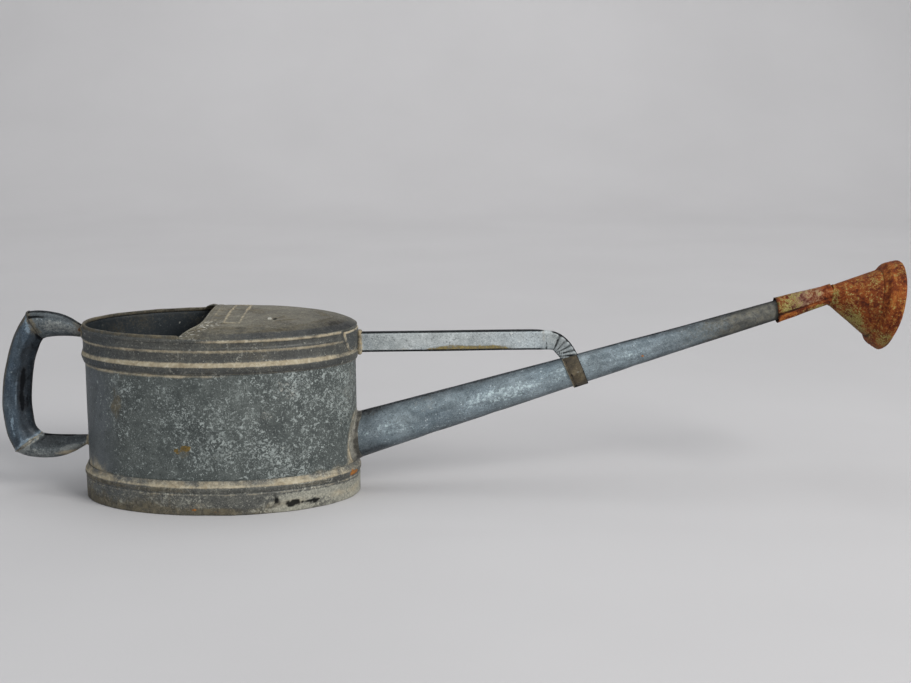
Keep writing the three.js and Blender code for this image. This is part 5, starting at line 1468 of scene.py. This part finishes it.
        # painted shade in the grooves near 42 to 43, 47.6 and 53.6, at the front lip, in the dent and along the bottom
        # outline
        dark = 0.4 * step(43.4, 42.2, s) + 0.42 * np.exp(-((s - 47.6) / 1.4) ** 2) * (0.8 + 0.7 * n2) + 0.28 * np.exp(-((s - 53.6) / 0.9) ** 2) + 0.35 * step(59.5, 61.5, s) + 0.15 * step(0.2, 0.7, n2)
        dark = dark + 0.5 * np.exp(-(np.angle(np.exp(1j * (ang - 2.45))) / 0.35) ** 2) * step(54, 58, s) + 0.3 * step(-0.8, -1.0, np.cos(ang))
        return {"paint": np.where(inside, 0, paintm), "bright": 0.3 + 0.4 * n1, "dark": np.where(inside, 0.6, dark), "plum": 0.1 + 0.3 * n2}

    piece("rim_band", pts, quads(*pts.shape[:2], True, True), ROSE, "rose", ["rose_rim"], paint3)

    # pierced face
    holes = []
    for k, (radius, n) in enumerate(((0, 1), (8.4, 6), (16.8, 12), (25.2, 18), (33.6, 24))):
        for i in range(n):
            q = TAU * (i + 0.5 * (k % 2)) / n
            holes.append((radius * math.cos(q), radius * math.sin(q)))
    holes = np.array(holes)
    edge_r, hole_r, sides = 43.2, 1.3, 14
    pts2, edges = [], []

    def ring(cx, cy, r, n):
        first = len(pts2)
        for i in range(n):
            pts2.append((cx + r * math.cos(TAU * i / n), cy + r * math.sin(TAU * i / n)))
        return list(range(first, first + n))

    border = ring(0, 0, edge_r, 150)
    edges += [(border[i], border[(i + 1) % 150]) for i in range(150)]
    mouths = []
    for cx, cy in holes:
        loop = ring(cx, cy, hole_r, sides)
        edges += [(loop[i], loop[(i + 1) % sides]) for i in range(sides)]
        mouths.append(loop)
        ring(cx, cy, hole_r + 0.75, sides)
        ring(cx, cy, hole_r + 1.7, 16)
    gap = 1.9
    for i in range(-26, 27):
        for j in range(-28, 29):
            x, y = (i + 0.5 * (j % 2)) * gap, j * gap * 0.866
            if math.hypot(x, y) < edge_r - 0.9 and np.min(np.hypot(holes[:, 0] - x, holes[:, 1] - y)) > hole_r + 2.3:
                pts2.append((x, y))
    made = delaunay_2d_cdt([Vector(p) for p in pts2], edges, [], 0, 1e-5)
    flat = np.array([(p.x, p.y) for p in made[0]])
    tri = np.array([f for f in made[2] if len(f) == 3])
    mid = flat[tri].mean(1)
    clear = np.min(np.hypot(holes[None, :, 0] - mid[:, None, 0], holes[None, :, 1] - mid[:, None, 1]), 1) > hole_r * 0.985
    inside = np.hypot(mid[:, 0], mid[:, 1]) < edge_r
    tri = tri[clear & inside]
    r = np.hypot(flat[:, 0], flat[:, 1])
    d = np.min(np.hypot(holes[None, :, 0] - flat[:, None, 0], holes[None, :, 1] - flat[:, None, 1]), 1)
    lip = 0.5 * np.exp(-((d - hole_r) / 0.7) ** 2)
    s = 59.6 + 9.5 * (1 - (r / 43.4) ** 2) + lip
    a = np.arctan2(flat[:, 1], flat[:, 0])
    world = lambda s: JOINT + s[:, None] * ROSE_AXIS + flat[:, 0][:, None] * ROSE_UP + flat[:, 1][:, None] * ACROSS
    p0 = world(s)
    p0 = p0 + (0.35 * fbm(p0, 24, 571, 2))[:, None] * ROSE_AXIS
    p1 = p0 - 0.9 * ROSE_AXIS
    n = len(flat)
    count = {}
    for f in tri:
        for i in range(3):
            e = (int(f[i]), int(f[(i + 1) % 3]))
            count[e] = count.get(e, 0) + 1
    faces = tri.tolist() + [[x + n for x in f[::-1]] for f in tri.tolist()]
    for (i, j) in count:
        if (j, i) not in count:
            faces.append([j, i, i + n, j + n])

    def paint4(co, normal):
        s, r, ang = rose_coords(co)
        n1, n2 = fbm(co, 18, 581, 3), fbm(co, 5, 582, 3)
        flat = np.stack([(co - JOINT) @ ROSE_UP, (co - JOINT) @ ACROSS], -1)
        d = np.min(np.hypot(holes[None, :, 0] - flat[:, None, 0], holes[None, :, 1] - flat[:, None, 1]), 1)
        inside = normal @ ROSE_AXIS < 0
        return {"paint": np.where(inside, 0, 0.35 + 0.55 * n1), "bright": 0.35 + 0.5 * n2, "dark": 0.5 * step(2.1, 1.3, d) + 0.4 * step(39, 43, r) + np.where(inside, 0.5, 0),
                "plum": 0.3 + 0.4 * n1}

    piece("face_sheet", np.vstack([p0, p1]), faces, ROSE, "rose", ["rose_face"], paint4)


build_wall()
build_bottom()
build_foot()
build_collar()
build_cover()
build_handle()
build_spout()
build_brace()
build_rose()


# ------------------------------------------------------------------ floor, light and camera
def build_stage():
    m = Nodes("pale_paper")
    big = m.noise(2.2, 3, 0.5)
    fine = m.noise(420, 3, 0.6)
    colour = m.ramp(m.math("ADD", m.math("MULTIPLY", big, 0.7), m.math("MULTIPLY", fine, 0.3)), [(0.35, lin(191, 190, 191)), (0.65, lin(196, 195, 196))])
    paper = m.finish(colour, m.range(fine, 0.3, 0.7, 0.85, 0.95), 0.0, fine, 0.05, 0.0003)
    prof = [(-6.0, 0.0), (2.7, 0.0)]
    for g in np.linspace(0, math.pi / 2, 24)[1:]:
        prof.append((2.7 + 1.6 * math.sin(g), 1.6 - 1.6 * math.cos(g)))
    prof.append((4.3, 5.0))
    xs = np.linspace(-6, 6, 3)
    verts = [(x, y, z) for x in xs for y, z in prof]
    n = len(prof)
    faces = [[i * n + j, (i + 1) * n + j, (i + 1) * n + j + 1, i * n + j + 1] for i in range(len(xs) - 1) for j in range(n - 1)]
    mesh = bpy.data.meshes.new("backdrop")
    mesh.from_pydata(verts, [], faces)
    mesh.shade_smooth()
    obj = bpy.data.objects.new("backdrop", mesh)
    mesh.materials.append(paper)
    bpy.context.scene.collection.objects.link(obj)


def area(name, place, aim, size, power, tint=(1, 1, 1)):
    data = bpy.data.lights.new(name, "AREA")
    data.shape = "RECTANGLE"
    data.size, data.size_y = size
    data.energy = power
    data.color = tint
    obj = bpy.data.objects.new(name, data)
    obj.location = place
    obj.rotation_euler = (Vector(aim) - Vector(place)).to_track_quat("-Z", "Y").to_euler()
    bpy.context.scene.collection.objects.link(obj)
    return obj


build_stage()
area("key", (2.3, -2.3, 2.0), (0.0, 0.0, 0.1), (1.7, 1.5), 112, (1.0, 0.985, 0.965))
area("top", (0.2, 0.1, 2.8), (0.0, 0.0, 0.0), (2.4, 1.8), 22, (1.0, 1.0, 1.0))
area("fill", (-1.9, -1.5, 1.2), (0.0, 0.0, 0.1), (1.4, 1.4), 8, (0.94, 0.97, 1.0))
area("wash", (0.0, 2.3, 2.5), (0.0, 4.0, 0.3), (4.5, 1.0), 36, (1.0, 0.99, 0.985))
world = bpy.data.worlds.new("studio")
bpy.context.scene.world = world
world.use_nodes = True
world.node_tree.nodes["Background"].inputs["Color"].default_value = (0.93, 0.96, 1.0, 1.0)
world.node_tree.nodes["Background"].inputs["Strength"].default_value = 0.35
bpy.context.scene.view_settings.view_transform = "Standard"
bpy.context.scene.view_settings.look = "None"

camera = bpy.data.cameras.new("camera")
camera.sensor_fit = "HORIZONTAL"
camera.sensor_width = 36.0
camera.lens = 59.283
camera.clip_end = 50
eye = bpy.data.objects.new("camera", camera)
bpy.context.scene.collection.objects.link(eye)
forward = Vector((0.02394, 0.98344, -0.17964)).normalized()
right = forward.cross(Vector((0, 0, 1))).normalized()
upright = right.cross(forward)
forward = (forward - right * (0.5 / 1500.2) + upright * (0.5 / 1500.2)).normalized()
right = forward.cross(Vector((0, 0, 1))).normalized()
upright = right.cross(forward)
turn = Matrix((right, upright, -forward)).transposed()
eye.matrix_world = Matrix.Translation(Vector((-0.032146, -1.479080, 0.421925))) @ turn.to_4x4()
bpy.context.scene.camera = eye
